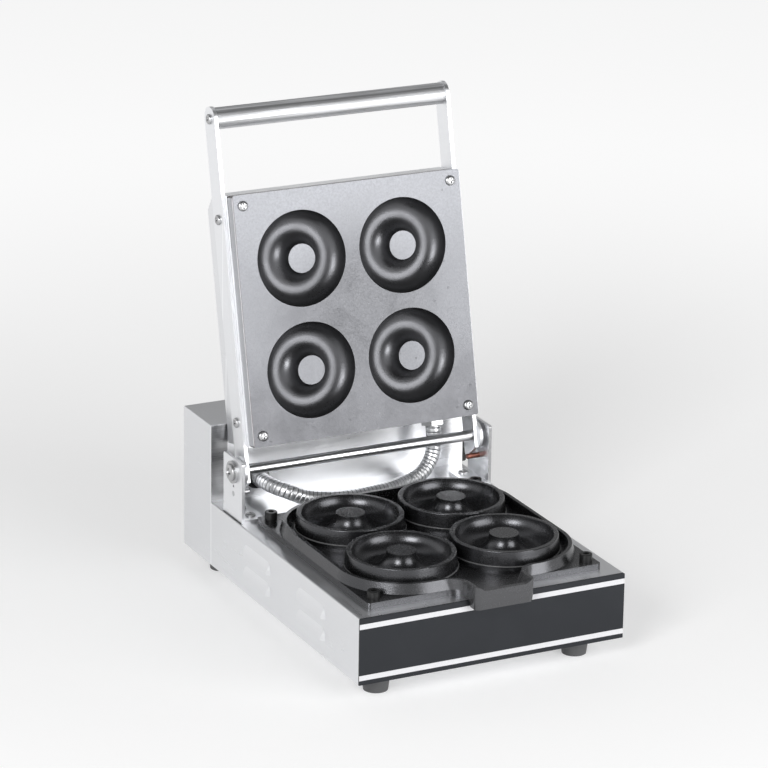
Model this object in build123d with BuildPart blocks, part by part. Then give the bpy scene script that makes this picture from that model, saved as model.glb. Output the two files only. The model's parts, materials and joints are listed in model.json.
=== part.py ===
"""Tabletop ring-cake press: a steel base with a cast lower plate, a hinged lid
with a matching upper plate, and a wiring box across the back.

Millimetres. +X is right, -Y is the front, +Z is up. The origin is on the floor,
under the middle of the base. The lid is drawn open, resting on its stop pins.
"""

import os
from math import cos, radians, sin, tan

from build123d import *

os.makedirs("parts", exist_ok=True)

# Ring cakes and plates
ring_outer = 88.0
ring_hole = 26.5
ring_pitch = 102.0
cup_rim = 4.5
cup_draft = 2.4
cup_wall_height = 17.0
rim_round = 0.8
plate_edge = 15.0
plate_corner = 3.0
flange_thick = 6.0
upper_edge_thick = 10.0
boss_depth = 10.0
boss_wall = 5.0
plate_screw_inset = 10.0
closing_gap = 0.3

# Overflow tray and pour spout of the lower plate
tray_wall_height = 9.0
tray_wall = 3.4
tray_draft = 18.0
spout_half_width = 29.2
spout_x = 4.2
spout_reach = 12.8
spout_corner = 6.0
spout_neck = 13.0
spout_lip_drop = 3.3
spout_lip_width = 40.0
spout_lip_run = 6.0
nose_drop = 6.0
nose_gap = 0.5
nose_draft = 8.0

# Base and rear box
sheet = 1.2
bend_radius = 1.6
foot_height = 20.0
base_height = 61.5
side_margin = 15.5
front_margin = 15.5
rear_box_depth = 62.0
rear_box_rise = 75.0
deck_ledge = 14.0
return_flange = 12.0
panel_thick = 1.5
panel_return = 10.0
fit_gap = 0.1
bottom_inset = 3.0
wiring_width = 120.0
wiring_height = 34.0

# Side louvres
louvre_length = 57.0
louvre_height = 11.5
louvre_rise = 3.2
louvre_corner = 7.0
louvre_end_slope = 50.0
louvre_front = 96.0
louvre_pitch = 113.0
louvre_low = 15.5
louvre_row = 20.5

# Feet
foot_top = 27.0
foot_bottom = 22.0
foot_side = 31.5
foot_end = 31.0
rear_foot_side = 27.5
rear_foot_end = 25.0
foot_recess = 12.0
foot_recess_depth = 9.0

# Hinge
hinge_rise = 44.5
hinge_setback = 21.5
rod_dia = 10.0
run_clearance = 0.05
bracket_thick = 3.0
bracket_inset = 2.5
bracket_front = 18.5
bracket_rear = 22.0
bracket_top = 13.0
bracket_tab = 14.0
bracket_foot = 20.0
bracket_corner = 2.0
peg_hole_dia = 2.5
peg_hole_drop = 13.7
spacer_dia = 26.0
spacer_thick = 3.0
spacer_gap = 0.25
washer_dia = 21.0
washer_thick = 2.5
hinge_head_dia = 16.0
hinge_head_height = 3.0
hinge_head_round = 1.2
stop_pin_dia = 5.0
stop_along = 20.5
stop_across = -5.0
stop_gap = 0.05
stop_face_angle = 28.0

# Lid
lid_lean = 12.6
lid_back = 34.5
lid_chamfer = 14.5
lid_open_gap = 9.5
arm_width = 22.5
arm_set_back = 3.8
arm_thick = 3.3
arm_gap = 0.5
arm_tail = 20.5
arm_tail_round = 3.5
arm_screw_inset = 22.0
block_length = 32.0
block_depth = 22.0
handle_dia = 20.0
handle_wall = 1.6
handle_gap = 69.0
plug_length = 20.0

# Ribbed conduit between the rear box and the lid
hose_dia = 14.0
hose_bore = 10.0
hose_groove = 1.0
hose_ribs = 84
hose_left = 84.0
hose_rise = 19.5
hose_rest = 7.5
hose_lid_x = 84.0
hose_lid_back = 15.0
ferrule_length = 11.0
ferrule_dia = 16.0
grommet_dia = 24.0
grommet_thick = 2.5
lid_nut_flats = 20.0
lid_nut_height = 8.5
neck_dia = 12.0
seat_gap = 0.2

# Heating and insulation
element_dia = 8.0
element_bend = 14.0
element_half = 82.0
element_far = 82.0
element_lead = 18.0
element_terminal = 20.0
clamp_width = 14.0
clamp_thick = 2.5
clamp_length = 190.0
clamp_offset = 56.0
shield_sheet = 0.8
shield_inset = 3.0
pan_depth = 26.0
pan_inset = 16.0
wool_thick = 12.0

# Controls on the right side of the rear box
knob_dia = 38.0
moulding_draft = 10.0
grip_draft = 3.0
knob_skirt = 5.0
knob_grip_width = 10.0
knob_grip_height = 13.0
knob_lift = 0.8
knob_recess_dia = 22.0
knob_recess = 4.0
shaft_dia = 6.0
shaft_reach = 15.0
bushing_dia = 10.0
bushing_reach = 4.0
control_nut_flats = 14.0
control_nut_height = 2.2
timer_drop = 26.5
timer_size = 46.0
timer_depth = 34.0
thermostat_drop = 72.5
thermostat_size = 38.0
thermostat_depth = 28.0
lamp_drop = 99.5
lamp_pitch = 24.0
lamp_dia = 9.0
lamp_flange = 12.0
switch_drop = 118.5
switch_width = 25.0
switch_length = 20.0
switch_flange = 1.8
switch_body_depth = 20.0
rocker_radius = 7.4
rocker_width = 17.0
rocker_gap = 0.3
rocker_tilt = 10.0
gland_dia = 22.0
gland_bore = 9.0
gland_reach = 18.0
gland_x = 70.0
gland_height = 30.0
block_wide = 60.0
block_deep = 20.0
block_tall = 18.0
block_ways = 3
block_screw_dia = 8.0
block_screw_depth = 6.0

# Fasteners
m4 = 4.0
m5 = 5.0
m6 = 6.0
hole_gap = 0.2
pan_head_ratio = 1.9
pan_height_ratio = 0.55
socket_head_ratio = 1.9
socket_height_ratio = 1.25
nut_flats_ratio = 1.7
nut_height_ratio = 0.8

# Places worked out from the sizes above
cup_outer = ring_outer + 2 * cup_rim
plate_size = ring_pitch + cup_outer + 2 * plate_edge
plate_half = plate_size / 2
screw_pitch = plate_size - 2 * plate_screw_inset
base_width = plate_size + 2 * side_margin
base_half = base_width / 2
cup_height = flange_thick + cup_wall_height
ring_section = (ring_outer - ring_hole) / 4
ring_mid = (ring_outer + ring_hole) / 4
tray_height = flange_thick + tray_wall_height

hinge_to_box = lid_back + lid_open_gap
base_length = front_margin + plate_size + hinge_setback + hinge_to_box
base_depth = base_length + rear_box_depth
front_y = -base_depth / 2
plate_y = front_y + front_margin + plate_half
hinge_y = plate_y + plate_half + hinge_setback
box_y = front_y + base_length
rear_y = box_y + rear_box_depth

base_z = foot_height
deck_z = base_z + base_height
rear_top = deck_z + rear_box_rise
hinge_z = deck_z + hinge_rise

box_height = rear_top - base_z
timer_height = box_height - timer_drop
thermostat_height = box_height - thermostat_drop
lamp_height = box_height - lamp_drop
switch_height = box_height - switch_drop

# The lid's own axes: s runs from the hinge to the handle, n out of the upper plate's face
lean = radians(lid_lean)
along = Vector(0, sin(lean), cos(lean))
outward = Vector(0, -cos(lean), sin(lean))
hinge = Vector(0, hinge_y, hinge_z)
lid_plane = Plane(origin=hinge, x_dir=(1, 0, 0), z_dir=outward)
arm_plane = Plane(origin=hinge, x_dir=along, z_dir=(1, 0, 0))

face_n = hinge_rise - cup_height - closing_gap
plate_back_n = face_n - upper_edge_thick
boss_back_n = plate_back_n - boss_depth
lid_low_s = hinge_setback
lid_mid_s = lid_low_s + plate_half
lid_high_s = lid_low_s + plate_size
handle_s = lid_high_s + handle_gap
arm_inner = plate_half + arm_gap
arm_outer = arm_inner + arm_thick
arm_front_n = arm_width / 2 - arm_set_back
arm_back_n = -arm_width / 2 - arm_set_back
cover_half = arm_inner - fit_gap
bracket_outer = base_half - bracket_inset
bracket_inner = bracket_outer - bracket_thick
bracket_length = bracket_front + bracket_rear
bracket_mid_y = hinge_y + (bracket_rear - bracket_front) / 2
flange_screw_x = base_width - 2 * sheet - return_flange
flange_screw_y = 2 * (box_y + return_flange)

plate_seat = Plane((0, plate_y, deck_z))
under_deck = Plane((0, plate_y, deck_z - sheet))
lid_face = lid_plane.offset(face_n)


# Shared fasteners
def pan_screw(size, length):
    """Screw with a rounded head, its seat at the origin and its shank down -Z."""
    height = size * pan_height_ratio
    with BuildPart() as screw:
        with BuildSketch():
            Circle(size * pan_head_ratio / 2)
        extrude(amount=height)
        chamfer(screw.edges().sort_by(Axis.Z)[-1], height * 0.5, height * 0.8)
        with BuildSketch():
            Circle(size / 2)
        extrude(amount=-length)
    return screw.part


def dome_bolt(size, length):
    """Hinge bolt with a wide domed head, its seat at the origin."""
    with BuildPart() as bolt:
        with BuildSketch():
            Circle(hinge_head_dia / 2)
        extrude(amount=hinge_head_height)
        fillet(bolt.edges().sort_by(Axis.Z)[-1], hinge_head_round)
        with BuildSketch():
            Circle(size / 2)
        extrude(amount=-length)
    return bolt.part


def socket_bolt(size, length):
    """Cylinder-head bolt with a hexagon socket, its seat at the origin."""
    with BuildPart() as bolt:
        with BuildSketch():
            Circle(size * socket_head_ratio / 2)
        extrude(amount=size * socket_height_ratio)
        chamfer(bolt.edges().sort_by(Axis.Z)[-1], size * 0.08)
        with BuildSketch(Plane.XY.offset(size * socket_height_ratio)):
            RegularPolygon(size * 0.42, 6, major_radius=False)
        extrude(amount=-size * 0.55, mode=Mode.SUBTRACT)
        with BuildSketch():
            Circle(size / 2)
        extrude(amount=-length)
    return bolt.part


def hex_nut(flats, height, bore):
    """Hexagon nut standing on the origin."""
    with BuildPart() as nut:
        with BuildSketch():
            RegularPolygon(flats / 2, 6, major_radius=False)
            Circle(bore / 2, mode=Mode.SUBTRACT)
        extrude(amount=height)
    return nut.part


def thread_nut(size):
    """Plain hexagon nut for a screw of the given size."""
    return hex_nut(size * nut_flats_ratio, size * nut_height_ratio, size + hole_gap)


# Ring cup of the lower plate, with its foot sunk a little into the tray floor
cup_foot = flange_thick - rim_round
with BuildPart() as ring_cup:
    with BuildSketch(Plane.XZ):
        with BuildLine():
            foot_radius = cup_outer / 2 + cup_draft
            rim_in = ring_outer / 2 + rim_round
            rim_out = cup_outer / 2 - rim_round
            Polyline((0, cup_height), (0, cup_foot), (foot_radius, cup_foot), (cup_outer / 2, cup_height - rim_round))
            RadiusArc((cup_outer / 2, cup_height - rim_round), (rim_out, cup_height), -rim_round)
            Line((rim_out, cup_height), (rim_in, cup_height))
            Line((rim_in, cup_height), (ring_outer / 2, cup_height - rim_round))
            ThreePointArc(
                (ring_outer / 2, cup_height - rim_round),
                (ring_mid, cup_height - ring_section),
                (ring_hole / 2, cup_height),
            )
            Line((ring_hole / 2, cup_height), (0, cup_height))
        make_face()
    revolve(axis=Axis.Z)

# Ring hollow cut into the upper plate, measured down from its face
with BuildPart() as ring_hollow:
    with BuildSketch(Plane.XZ):
        with BuildLine():
            Line((ring_hole / 2, 0), (ring_outer / 2, 0))
            ThreePointArc((ring_outer / 2, 0), (ring_mid, -ring_section), (ring_hole / 2, 0))
        make_face()
    revolve(axis=Axis.Z)


# Lower plate: flange, drafted tray wall, pour spout and four ring cups
def draft_at(height):
    """How far a drafted wall has drawn in at a height above the deck."""
    return (height - flange_thick) * tan(radians(tray_draft))


def plate_outline(height, corner, inset=0.0):
    """Plan of plate and spout at a height above the deck; the plate's walls are drafted, the spout's are upright."""
    drawn = draft_at(height) + inset
    half = plate_half - max(drawn, 0)
    spout_half = spout_half_width - inset
    spout_front = -plate_half - front_margin - spout_reach + inset
    with BuildSketch(plate_seat.offset(height)) as outline:
        Rectangle(2 * half, 2 * half)
        with Locations((spout_x, (spout_front - half) / 2)):
            Rectangle(2 * spout_half, -half - spout_front)
        sides = outline.vertices().group_by(Axis.X)
        fillet(sides[0] + sides[-1], corner - max(drawn, 0))
        spout_sides = outline.vertices().filter_by(lambda v: abs(abs(v.X - spout_x) - spout_half) < fit_gap)
        neck = spout_sides.group_by(Axis.Y)
        fillet(neck[-1], spout_neck + drawn)
        fillet(outline.vertices().group_by(Axis.Y)[0], max(spout_corner - inset, rim_round))
    return outline.sketch


tray_corner = plate_half - ring_pitch / 2
with BuildPart() as lower_plate:
    loft([plate_outline(0, plate_corner), plate_outline(flange_thick, plate_corner)], ruled=True)
    nose_front = front_y - spout_reach
    nose_back = front_y - nose_gap
    with BuildSketch(Plane((spout_x, (nose_front + nose_back) / 2, deck_z))) as nose:
        Rectangle(2 * spout_half_width, nose_back - nose_front)
        fillet(nose.vertices().group_by(Axis.Y)[0], spout_corner)
    extrude(amount=-nose_drop, taper=nose_draft)
    loft([plate_outline(flange_thick, tray_corner), plate_outline(tray_height, tray_corner)], ruled=True)
    tray_inside = tray_wall + draft_at(tray_height)
    hollow_low = plate_outline(flange_thick, tray_corner, tray_inside + rim_round)
    hollow_high = plate_outline(tray_height, tray_corner, tray_wall)
    loft([hollow_low, hollow_high], ruled=True, mode=Mode.SUBTRACT)
    lip_half = spout_lip_width / 2
    with BuildSketch(Plane.XZ.offset(-nose_front)):
        with BuildLine():
            Polyline(
                (spout_x - lip_half - spout_lip_run, deck_z + tray_height),
                (spout_x - lip_half, deck_z + tray_height - spout_lip_drop),
                (spout_x + lip_half, deck_z + tray_height - spout_lip_drop),
                (spout_x + lip_half + spout_lip_run, deck_z + tray_height),
                close=True,
            )
        make_face()
    extrude(amount=-spout_corner, mode=Mode.SUBTRACT)
    with Locations(plate_seat.offset(flange_thick)):
        with GridLocations(screw_pitch, screw_pitch, 2, 2):
            Hole((m6 + hole_gap) / 2, depth=flange_thick)
    with Locations(plate_seat):
        with GridLocations(ring_pitch, ring_pitch, 2, 2):
            add(ring_cup.part)
        with GridLocations(1, 2 * clamp_offset, 1, 2):
            Cylinder((m5 + hole_gap) / 2, 2 * (flange_thick - panel_thick), mode=Mode.SUBTRACT)
lower_plate.part.label = "lower_plate"
export_step(lower_plate.part, "parts/lower_plate.step")

plate_bolt = socket_bolt(m6, flange_thick + sheet + shield_sheet + m6)
with BuildPart() as lower_plate_bolts:
    with Locations(plate_seat.offset(flange_thick)):
        with GridLocations(screw_pitch, screw_pitch, 2, 2):
            add(plate_bolt)
lower_plate_bolts.part.label = "lower_plate_bolts"
export_step(lower_plate_bolts.part, "parts/lower_plate_bolts.step")

plate_nut = thread_nut(m6)
with BuildPart() as lower_plate_nuts:
    with Locations(under_deck.offset(-shield_sheet - m6 * nut_height_ratio)):
        with GridLocations(screw_pitch, screw_pitch, 2, 2):
            add(plate_nut)
lower_plate_nuts.part.label = "lower_plate_nuts"
export_step(lower_plate_nuts.part, "parts/lower_plate_nuts.step")

# Base shell: deck, sides and bottom return flanges, open at both ends
left_wall = Plane(origin=(-base_half, front_y, base_z), x_dir=(0, -1, 0), z_dir=(-1, 0, 0))
right_wall = Plane(origin=(base_half, front_y, base_z), x_dir=(0, 1, 0), z_dir=(1, 0, 0))
louvre_places = [
    (louvre_front + column * louvre_pitch, louvre_low + row * louvre_row) for column in (0, 1) for row in (0, 1)
]


def louvre(length, height):
    """A pressed louvre: it swells from its top edge down to an open lip. X runs along the wall, Z out of it."""
    with BuildPart() as swell:
        with BuildSketch(Plane.YZ.offset(-length / 2)):
            with BuildLine():
                ThreePointArc((height, 0), (height * 0.45, louvre_rise * 0.7), (0, louvre_rise))
                Polyline((0, louvre_rise), (0, 0), (height, 0))
            make_face()
        extrude(amount=length)
        with BuildSketch() as outline:
            with Locations((0, (height - 2 * louvre_rise) / 2)):
                Rectangle(length, height + 2 * louvre_rise)
            fillet(outline.vertices().group_by(Axis.Y)[-1], louvre_corner)
        extrude(amount=louvre_rise, taper=louvre_end_slope, mode=Mode.INTERSECT)
    return swell.part


louvre_outside = louvre(louvre_length, louvre_height)
louvre_inside = louvre(louvre_length - 2 * sheet, louvre_height - sheet)
bracket_slot_out = base_half - sheet
bracket_slot = bracket_slot_out - bracket_inner + fit_gap
bracket_screw_x = bracket_inner - bracket_foot / 2
bracket_screw_pitch = bracket_length / 2
shell_front = front_y + panel_thick
shell_length = base_length - panel_thick
with BuildPart() as base_shell:
    with BuildSketch(Plane.XZ.offset(-shell_front)):
        with Locations((0, base_z + base_height / 2)):
            Rectangle(base_width, base_height)
    extrude(amount=-shell_length)
    fillet(base_shell.edges().filter_by(Axis.Y).group_by(Axis.Z)[-1], bend_radius)
    with BuildSketch(Plane.XZ.offset(-shell_front)):
        with Locations((0, base_z + base_height / 2)):
            Rectangle(base_width - 2 * sheet, base_height - 2 * sheet)
    extrude(amount=-shell_length, mode=Mode.SUBTRACT)
    flange_start = front_y + panel_return + fit_gap
    with BuildSketch(Plane((0, 0, base_z))):
        with Locations((0, front_y + base_length / 2)):
            Rectangle(base_width - 2 * (sheet + return_flange), base_length)
        with Locations((0, (front_y + flange_start) / 2)):
            Rectangle(base_width - 2 * sheet, flange_start - front_y)
    extrude(amount=sheet, mode=Mode.SUBTRACT)
    with BuildSketch(Plane((0, 0, base_z))):
        with GridLocations(flange_screw_x, flange_screw_y, 2, 2):
            Circle((m4 + hole_gap) / 2)
    extrude(amount=sheet, mode=Mode.SUBTRACT)
    with BuildSketch(under_deck):
        Rectangle(plate_size - 2 * deck_ledge, plate_size - 2 * deck_ledge)
        with GridLocations(screw_pitch, screw_pitch, 2, 2):
            Circle((m6 + hole_gap) / 2)
    extrude(amount=sheet, mode=Mode.SUBTRACT)
    with BuildSketch(Plane((0, bracket_mid_y, deck_z - sheet))):
        with GridLocations(bracket_inner - fit_gap + bracket_slot_out, 1, 2, 1):
            Rectangle(bracket_slot, bracket_length + 2 * fit_gap)
        with GridLocations(2 * bracket_screw_x, bracket_screw_pitch, 2, 2):
            Circle((m5 + hole_gap) / 2)
    extrude(amount=sheet, mode=Mode.SUBTRACT)
    for wall, forward in ((left_wall, -1), (right_wall, 1)):
        places = [(forward * place, height) for place, height in louvre_places]
        with Locations(wall):
            with Locations(*places):
                add(louvre_outside)
        with Locations(wall.offset(-sheet)):
            with Locations(*places):
                add(louvre_inside, mode=Mode.SUBTRACT)
base_shell.part.label = "base_shell"
export_step(base_shell.part, "parts/base_shell.step")

# Front panel: a black face over the shell's edges, with a shallow pan between its walls
panel_width = base_width - 2 * (sheet + fit_gap)
panel_height = base_height - sheet - fit_gap
with BuildPart() as front_panel:
    with BuildSketch(Plane.XZ.offset(-front_y)) as panel_face:
        with Locations((0, base_z + base_height / 2)):
            Rectangle(base_width, base_height)
        fillet(panel_face.vertices().group_by(Axis.Y)[-1], bend_radius)
    extrude(amount=-panel_thick)
    with BuildSketch(Plane.XZ.offset(-front_y)):
        with Locations((0, base_z + panel_height / 2)):
            Rectangle(panel_width, panel_height)
    extrude(amount=-panel_return)
    with BuildSketch(Plane.XZ.offset(-front_y - panel_thick)):
        with Locations((0, base_z + panel_height / 2)):
            Rectangle(panel_width - 2 * panel_thick, panel_height - 2 * panel_thick)
    extrude(amount=-panel_return, mode=Mode.SUBTRACT)
front_panel.part.label = "front_panel"
export_step(front_panel.part, "parts/front_panel.step")

# Rear box: closed in front and above, with flanged openings behind and below
box_mid_y = box_y + rear_box_depth / 2
grommet_z = deck_z + hose_rise
control_wall = Plane(origin=(base_half, box_mid_y, base_z), x_dir=(0, 1, 0), z_dir=(1, 0, 0))
box_front = Plane(origin=(0, box_y, 0), x_dir=(1, 0, 0), z_dir=(0, -1, 0))
box_rear = Plane(origin=(0, rear_y, 0), x_dir=(-1, 0, 0), z_dir=(0, 1, 0))
cover_screw_x = base_width - 2 * sheet - return_flange
cover_screw_z = box_height - 2 * sheet - return_flange
with BuildPart() as rear_box:
    with BuildSketch(Plane((0, box_mid_y, base_z))):
        Rectangle(base_width, rear_box_depth)
    extrude(amount=box_height)
    top_edges = rear_box.faces().sort_by(Axis.Z)[-1].edges()
    fillet(top_edges, bend_radius)
    with BuildSketch(Plane((0, box_mid_y, base_z + sheet))):
        Rectangle(base_width - 2 * sheet, rear_box_depth - 2 * sheet)
    extrude(amount=box_height - 2 * sheet, mode=Mode.SUBTRACT)
    with BuildSketch(Plane((0, box_mid_y, base_z))):
        Rectangle(base_width - 2 * (sheet + return_flange), rear_box_depth - 2 * (sheet + return_flange))
    extrude(amount=sheet, mode=Mode.SUBTRACT)
    with BuildSketch(Plane((0, 0, base_z))):
        with GridLocations(flange_screw_x, flange_screw_y, 2, 2):
            Circle((m4 + hole_gap) / 2)
    extrude(amount=sheet, mode=Mode.SUBTRACT)
    with BuildSketch(box_rear):
        with Locations((0, base_z + box_height / 2)):
            Rectangle(base_width - 2 * (sheet + return_flange), box_height - 2 * (sheet + return_flange))
            with GridLocations(cover_screw_x, cover_screw_z, 2, 2):
                Circle((m4 + hole_gap) / 2)
    extrude(amount=-sheet, mode=Mode.SUBTRACT)
    with BuildSketch(box_front):
        with Locations((0, deck_z - sheet - wiring_height / 2)):
            Rectangle(wiring_width, wiring_height)
        with Locations((-hose_left, grommet_z)):
            Circle((ferrule_dia + grommet_thick) / 2)
    extrude(amount=-sheet, mode=Mode.SUBTRACT)
    with BuildSketch(control_wall):
        with Locations((0, timer_height), (0, thermostat_height)):
            Circle((bushing_dia + hole_gap) / 2)
        with Locations((0, lamp_height)):
            with GridLocations(lamp_pitch, 1, 2, 1):
                Circle((lamp_dia + hole_gap) / 2)
        with Locations((0, switch_height)):
            Rectangle(switch_width - 2 * panel_thick, switch_length - 2 * panel_thick)
    extrude(amount=-sheet, mode=Mode.SUBTRACT)
rear_box.part.label = "rear_box"
export_step(rear_box.part, "parts/rear_box.step")

with BuildPart() as rear_cover:
    with BuildSketch(box_rear):
        with Locations((0, base_z + box_height / 2)):
            RectangleRounded(base_width - 2 * bend_radius, box_height - 2 * bend_radius, bend_radius)
            with GridLocations(cover_screw_x, cover_screw_z, 2, 2):
                Circle((m4 + hole_gap) / 2, mode=Mode.SUBTRACT)
        with Locations((-gland_x, base_z + gland_height)):
            Circle((gland_dia / 2) * 0.7 + hole_gap / 2, mode=Mode.SUBTRACT)
    extrude(amount=sheet)
rear_cover.part.label = "rear_cover"
export_step(rear_cover.part, "parts/rear_cover.step")

cover_screw = pan_screw(m4, 2 * sheet + m4 / 2)
with BuildPart() as rear_cover_screws:
    with Locations(box_rear.offset(sheet)):
        with Locations((0, base_z + box_height / 2)):
            with GridLocations(cover_screw_x, cover_screw_z, 2, 2):
                add(cover_screw)
rear_cover_screws.part.label = "rear_cover_screws"
export_step(rear_cover_screws.part, "parts/rear_cover_screws.step")

# Bottom plate, its screws into the return flanges, and the feet
front_feet = (base_half - foot_side, front_y + foot_end)
rear_feet = (base_half - rear_foot_side, rear_y - rear_foot_end)
foot_places = [(side * x, y) for x, y in (front_feet, rear_feet) for side in (-1, 1)]
bottom_seat = Plane((0, 0, base_z - sheet))
with BuildPart() as bottom_plate:
    with BuildSketch(bottom_seat):
        Rectangle(base_width - 2 * bottom_inset, base_depth - 2 * bottom_inset)
        with Locations(*foot_places):
            Circle((m5 + hole_gap) / 2, mode=Mode.SUBTRACT)
        with GridLocations(flange_screw_x, flange_screw_y, 2, 2):
            Circle((m4 + hole_gap) / 2, mode=Mode.SUBTRACT)
    extrude(amount=sheet)
bottom_plate.part.label = "bottom_plate"
export_step(bottom_plate.part, "parts/bottom_plate.step")

foot_body = base_z - sheet
with BuildPart() as rubber_feet:
    with BuildSketch():
        with Locations(*foot_places):
            Circle(foot_bottom / 2)
    extrude(amount=foot_body, taper=-Vector(0, foot_body).get_angle(Vector((foot_top - foot_bottom) / 2, foot_body)))
    with BuildSketch():
        with Locations(*foot_places):
            Circle(foot_recess / 2)
    extrude(amount=foot_recess_depth, mode=Mode.SUBTRACT)
    with BuildSketch():
        with Locations(*foot_places):
            Circle((m5 + hole_gap) / 2)
    extrude(amount=foot_body, mode=Mode.SUBTRACT)
rubber_feet.part.label = "rubber_feet"
export_step(rubber_feet.part, "parts/rubber_feet.step")

foot_nut = thread_nut(m5)
foot_screw = pan_screw(m5, foot_body - foot_recess_depth + sheet + m5)
with BuildPart() as foot_screws:
    with Locations(Plane((0, 0, foot_recess_depth), x_dir=(1, 0, 0), z_dir=(0, 0, -1))):
        with Locations(*[(x, -y) for x, y in foot_places]):
            add(foot_screw)
foot_screws.part.label = "foot_screws"
export_step(foot_screws.part, "parts/foot_screws.step")

with BuildPart() as foot_nuts:
    with Locations(Plane((0, 0, base_z))):
        with Locations(*foot_places):
            add(foot_nut)
foot_nuts.part.label = "foot_nuts"
export_step(foot_nuts.part, "parts/foot_nuts.step")

flange_screw = pan_screw(m4, 2 * sheet + m4)
with BuildPart() as bottom_screws:
    with Locations(Plane((0, 0, base_z - sheet), z_dir=(0, 0, -1))):
        with GridLocations(flange_screw_x, flange_screw_y, 2, 2):
            add(flange_screw)
bottom_screws.part.label = "bottom_screws"
export_step(bottom_screws.part, "parts/bottom_screws.step")

# Hinge brackets: an upright plate through the deck, with a foot flange on it
stop_pin_at = hinge - along * stop_along + outward * stop_across
with BuildPart() as hinge_bracket_right:
    with BuildSketch(Plane.XZ.offset(-(hinge_y - bracket_front))):
        with BuildLine():
            Polyline(
                (bracket_inner - bracket_foot, deck_z),
                (bracket_inner, deck_z),
                (bracket_inner, deck_z - bracket_tab),
                (bracket_outer, deck_z - bracket_tab),
                (bracket_outer, hinge_z + bracket_top),
                (bracket_inner, hinge_z + bracket_top),
                (bracket_inner, deck_z + bracket_thick),
                (bracket_inner - bracket_foot, deck_z + bracket_thick),
                close=True,
            )
        make_face()
    extrude(amount=-bracket_length)
    fillet(hinge_bracket_right.edges().filter_by(Axis.X).group_by(Axis.Z)[-1], bracket_corner)
    with BuildSketch(Plane.YZ.offset(bracket_inner)):
        with Locations((hinge_y, hinge_z)):
            Circle((rod_dia + hole_gap) / 2)
        with Locations((stop_pin_at.Y, stop_pin_at.Z)):
            Circle((stop_pin_dia + hole_gap) / 2)
        with Locations((hinge_y, hinge_z - peg_hole_drop)):
            Circle(peg_hole_dia / 2)
    extrude(amount=bracket_thick, mode=Mode.SUBTRACT)
    with BuildSketch(Plane((bracket_screw_x, bracket_mid_y, deck_z))):
        with GridLocations(1, bracket_screw_pitch, 1, 2):
            Circle((m5 + hole_gap) / 2)
    extrude(amount=bracket_thick, mode=Mode.SUBTRACT)
hinge_bracket_right.part.label = "hinge_bracket_right"
export_step(hinge_bracket_right.part, "parts/hinge_bracket_right.step")

with BuildPart() as hinge_bracket_left:
    mirror(hinge_bracket_right.part, about=Plane.YZ)
hinge_bracket_left.part.label = "hinge_bracket_left"
export_step(hinge_bracket_left.part, "parts/hinge_bracket_left.step")

bracket_screw = pan_screw(m5, bracket_thick + sheet + m5)
with BuildPart() as bracket_screws:
    with Locations(Plane((0, bracket_mid_y, deck_z + bracket_thick))):
        with GridLocations(2 * bracket_screw_x, bracket_screw_pitch, 2, 2):
            add(bracket_screw)
bracket_screws.part.label = "bracket_screws"
export_step(bracket_screws.part, "parts/bracket_screws.step")

stop_pin_inner = arm_inner - bracket_thick
with BuildPart() as stop_pins:
    for side in (Plane.YZ.offset(stop_pin_inner), Plane.YZ.offset(-bracket_outer)):
        with BuildSketch(side):
            with Locations((stop_pin_at.Y, stop_pin_at.Z)):
                Circle(stop_pin_dia / 2)
        extrude(amount=bracket_outer - stop_pin_inner)
stop_pins.part.label = "stop_pins"
export_step(stop_pins.part, "parts/stop_pins.step")

# Hinge rod between the brackets, its spacers, washers and end bolts
end_thread = 3 * m6
hinge_axis_right = Plane(origin=hinge, x_dir=(0, 1, 0), z_dir=(1, 0, 0))
hinge_axis_left = Plane(origin=hinge, x_dir=(0, -1, 0), z_dir=(-1, 0, 0))
hinge_axes = (hinge_axis_right, hinge_axis_left)
with BuildPart() as hinge_rod:
    with BuildSketch(hinge_axis_right.offset(-bracket_outer)):
        Circle(rod_dia / 2)
    extrude(amount=2 * bracket_outer)
    for axis_plane in hinge_axes:
        with BuildSketch(axis_plane.offset(bracket_outer)):
            Circle((m6 + hole_gap) / 2)
        extrude(amount=-end_thread, mode=Mode.SUBTRACT)
hinge_rod.part.label = "hinge_rod"
export_step(hinge_rod.part, "parts/hinge_rod.step")

# The spacers are loose on the rod and lie by the arms
with BuildPart() as hinge_spacers:
    for axis_plane in hinge_axes:
        with BuildSketch(axis_plane.offset(arm_outer + spacer_gap)):
            Circle(spacer_dia / 2)
            Circle((rod_dia + hole_gap) / 2, mode=Mode.SUBTRACT)
        extrude(amount=spacer_thick)
hinge_spacers.part.label = "hinge_spacers"
export_step(hinge_spacers.part, "parts/hinge_spacers.step")

with BuildPart() as hinge_washers:
    for axis_plane in hinge_axes:
        with BuildSketch(axis_plane.offset(bracket_outer)):
            Circle(washer_dia / 2)
            Circle((m6 + hole_gap) / 2, mode=Mode.SUBTRACT)
        extrude(amount=washer_thick)
hinge_washers.part.label = "hinge_washers"
export_step(hinge_washers.part, "parts/hinge_washers.step")

hinge_bolt = dome_bolt(m6, washer_thick + end_thread - m4)
with BuildPart() as hinge_bolts:
    for axis_plane in hinge_axes:
        with Locations(axis_plane.offset(bracket_outer + washer_thick)):
            add(hinge_bolt)
hinge_bolts.part.label = "hinge_bolts"
export_step(hinge_bolts.part, "parts/hinge_bolts.step")

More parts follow.
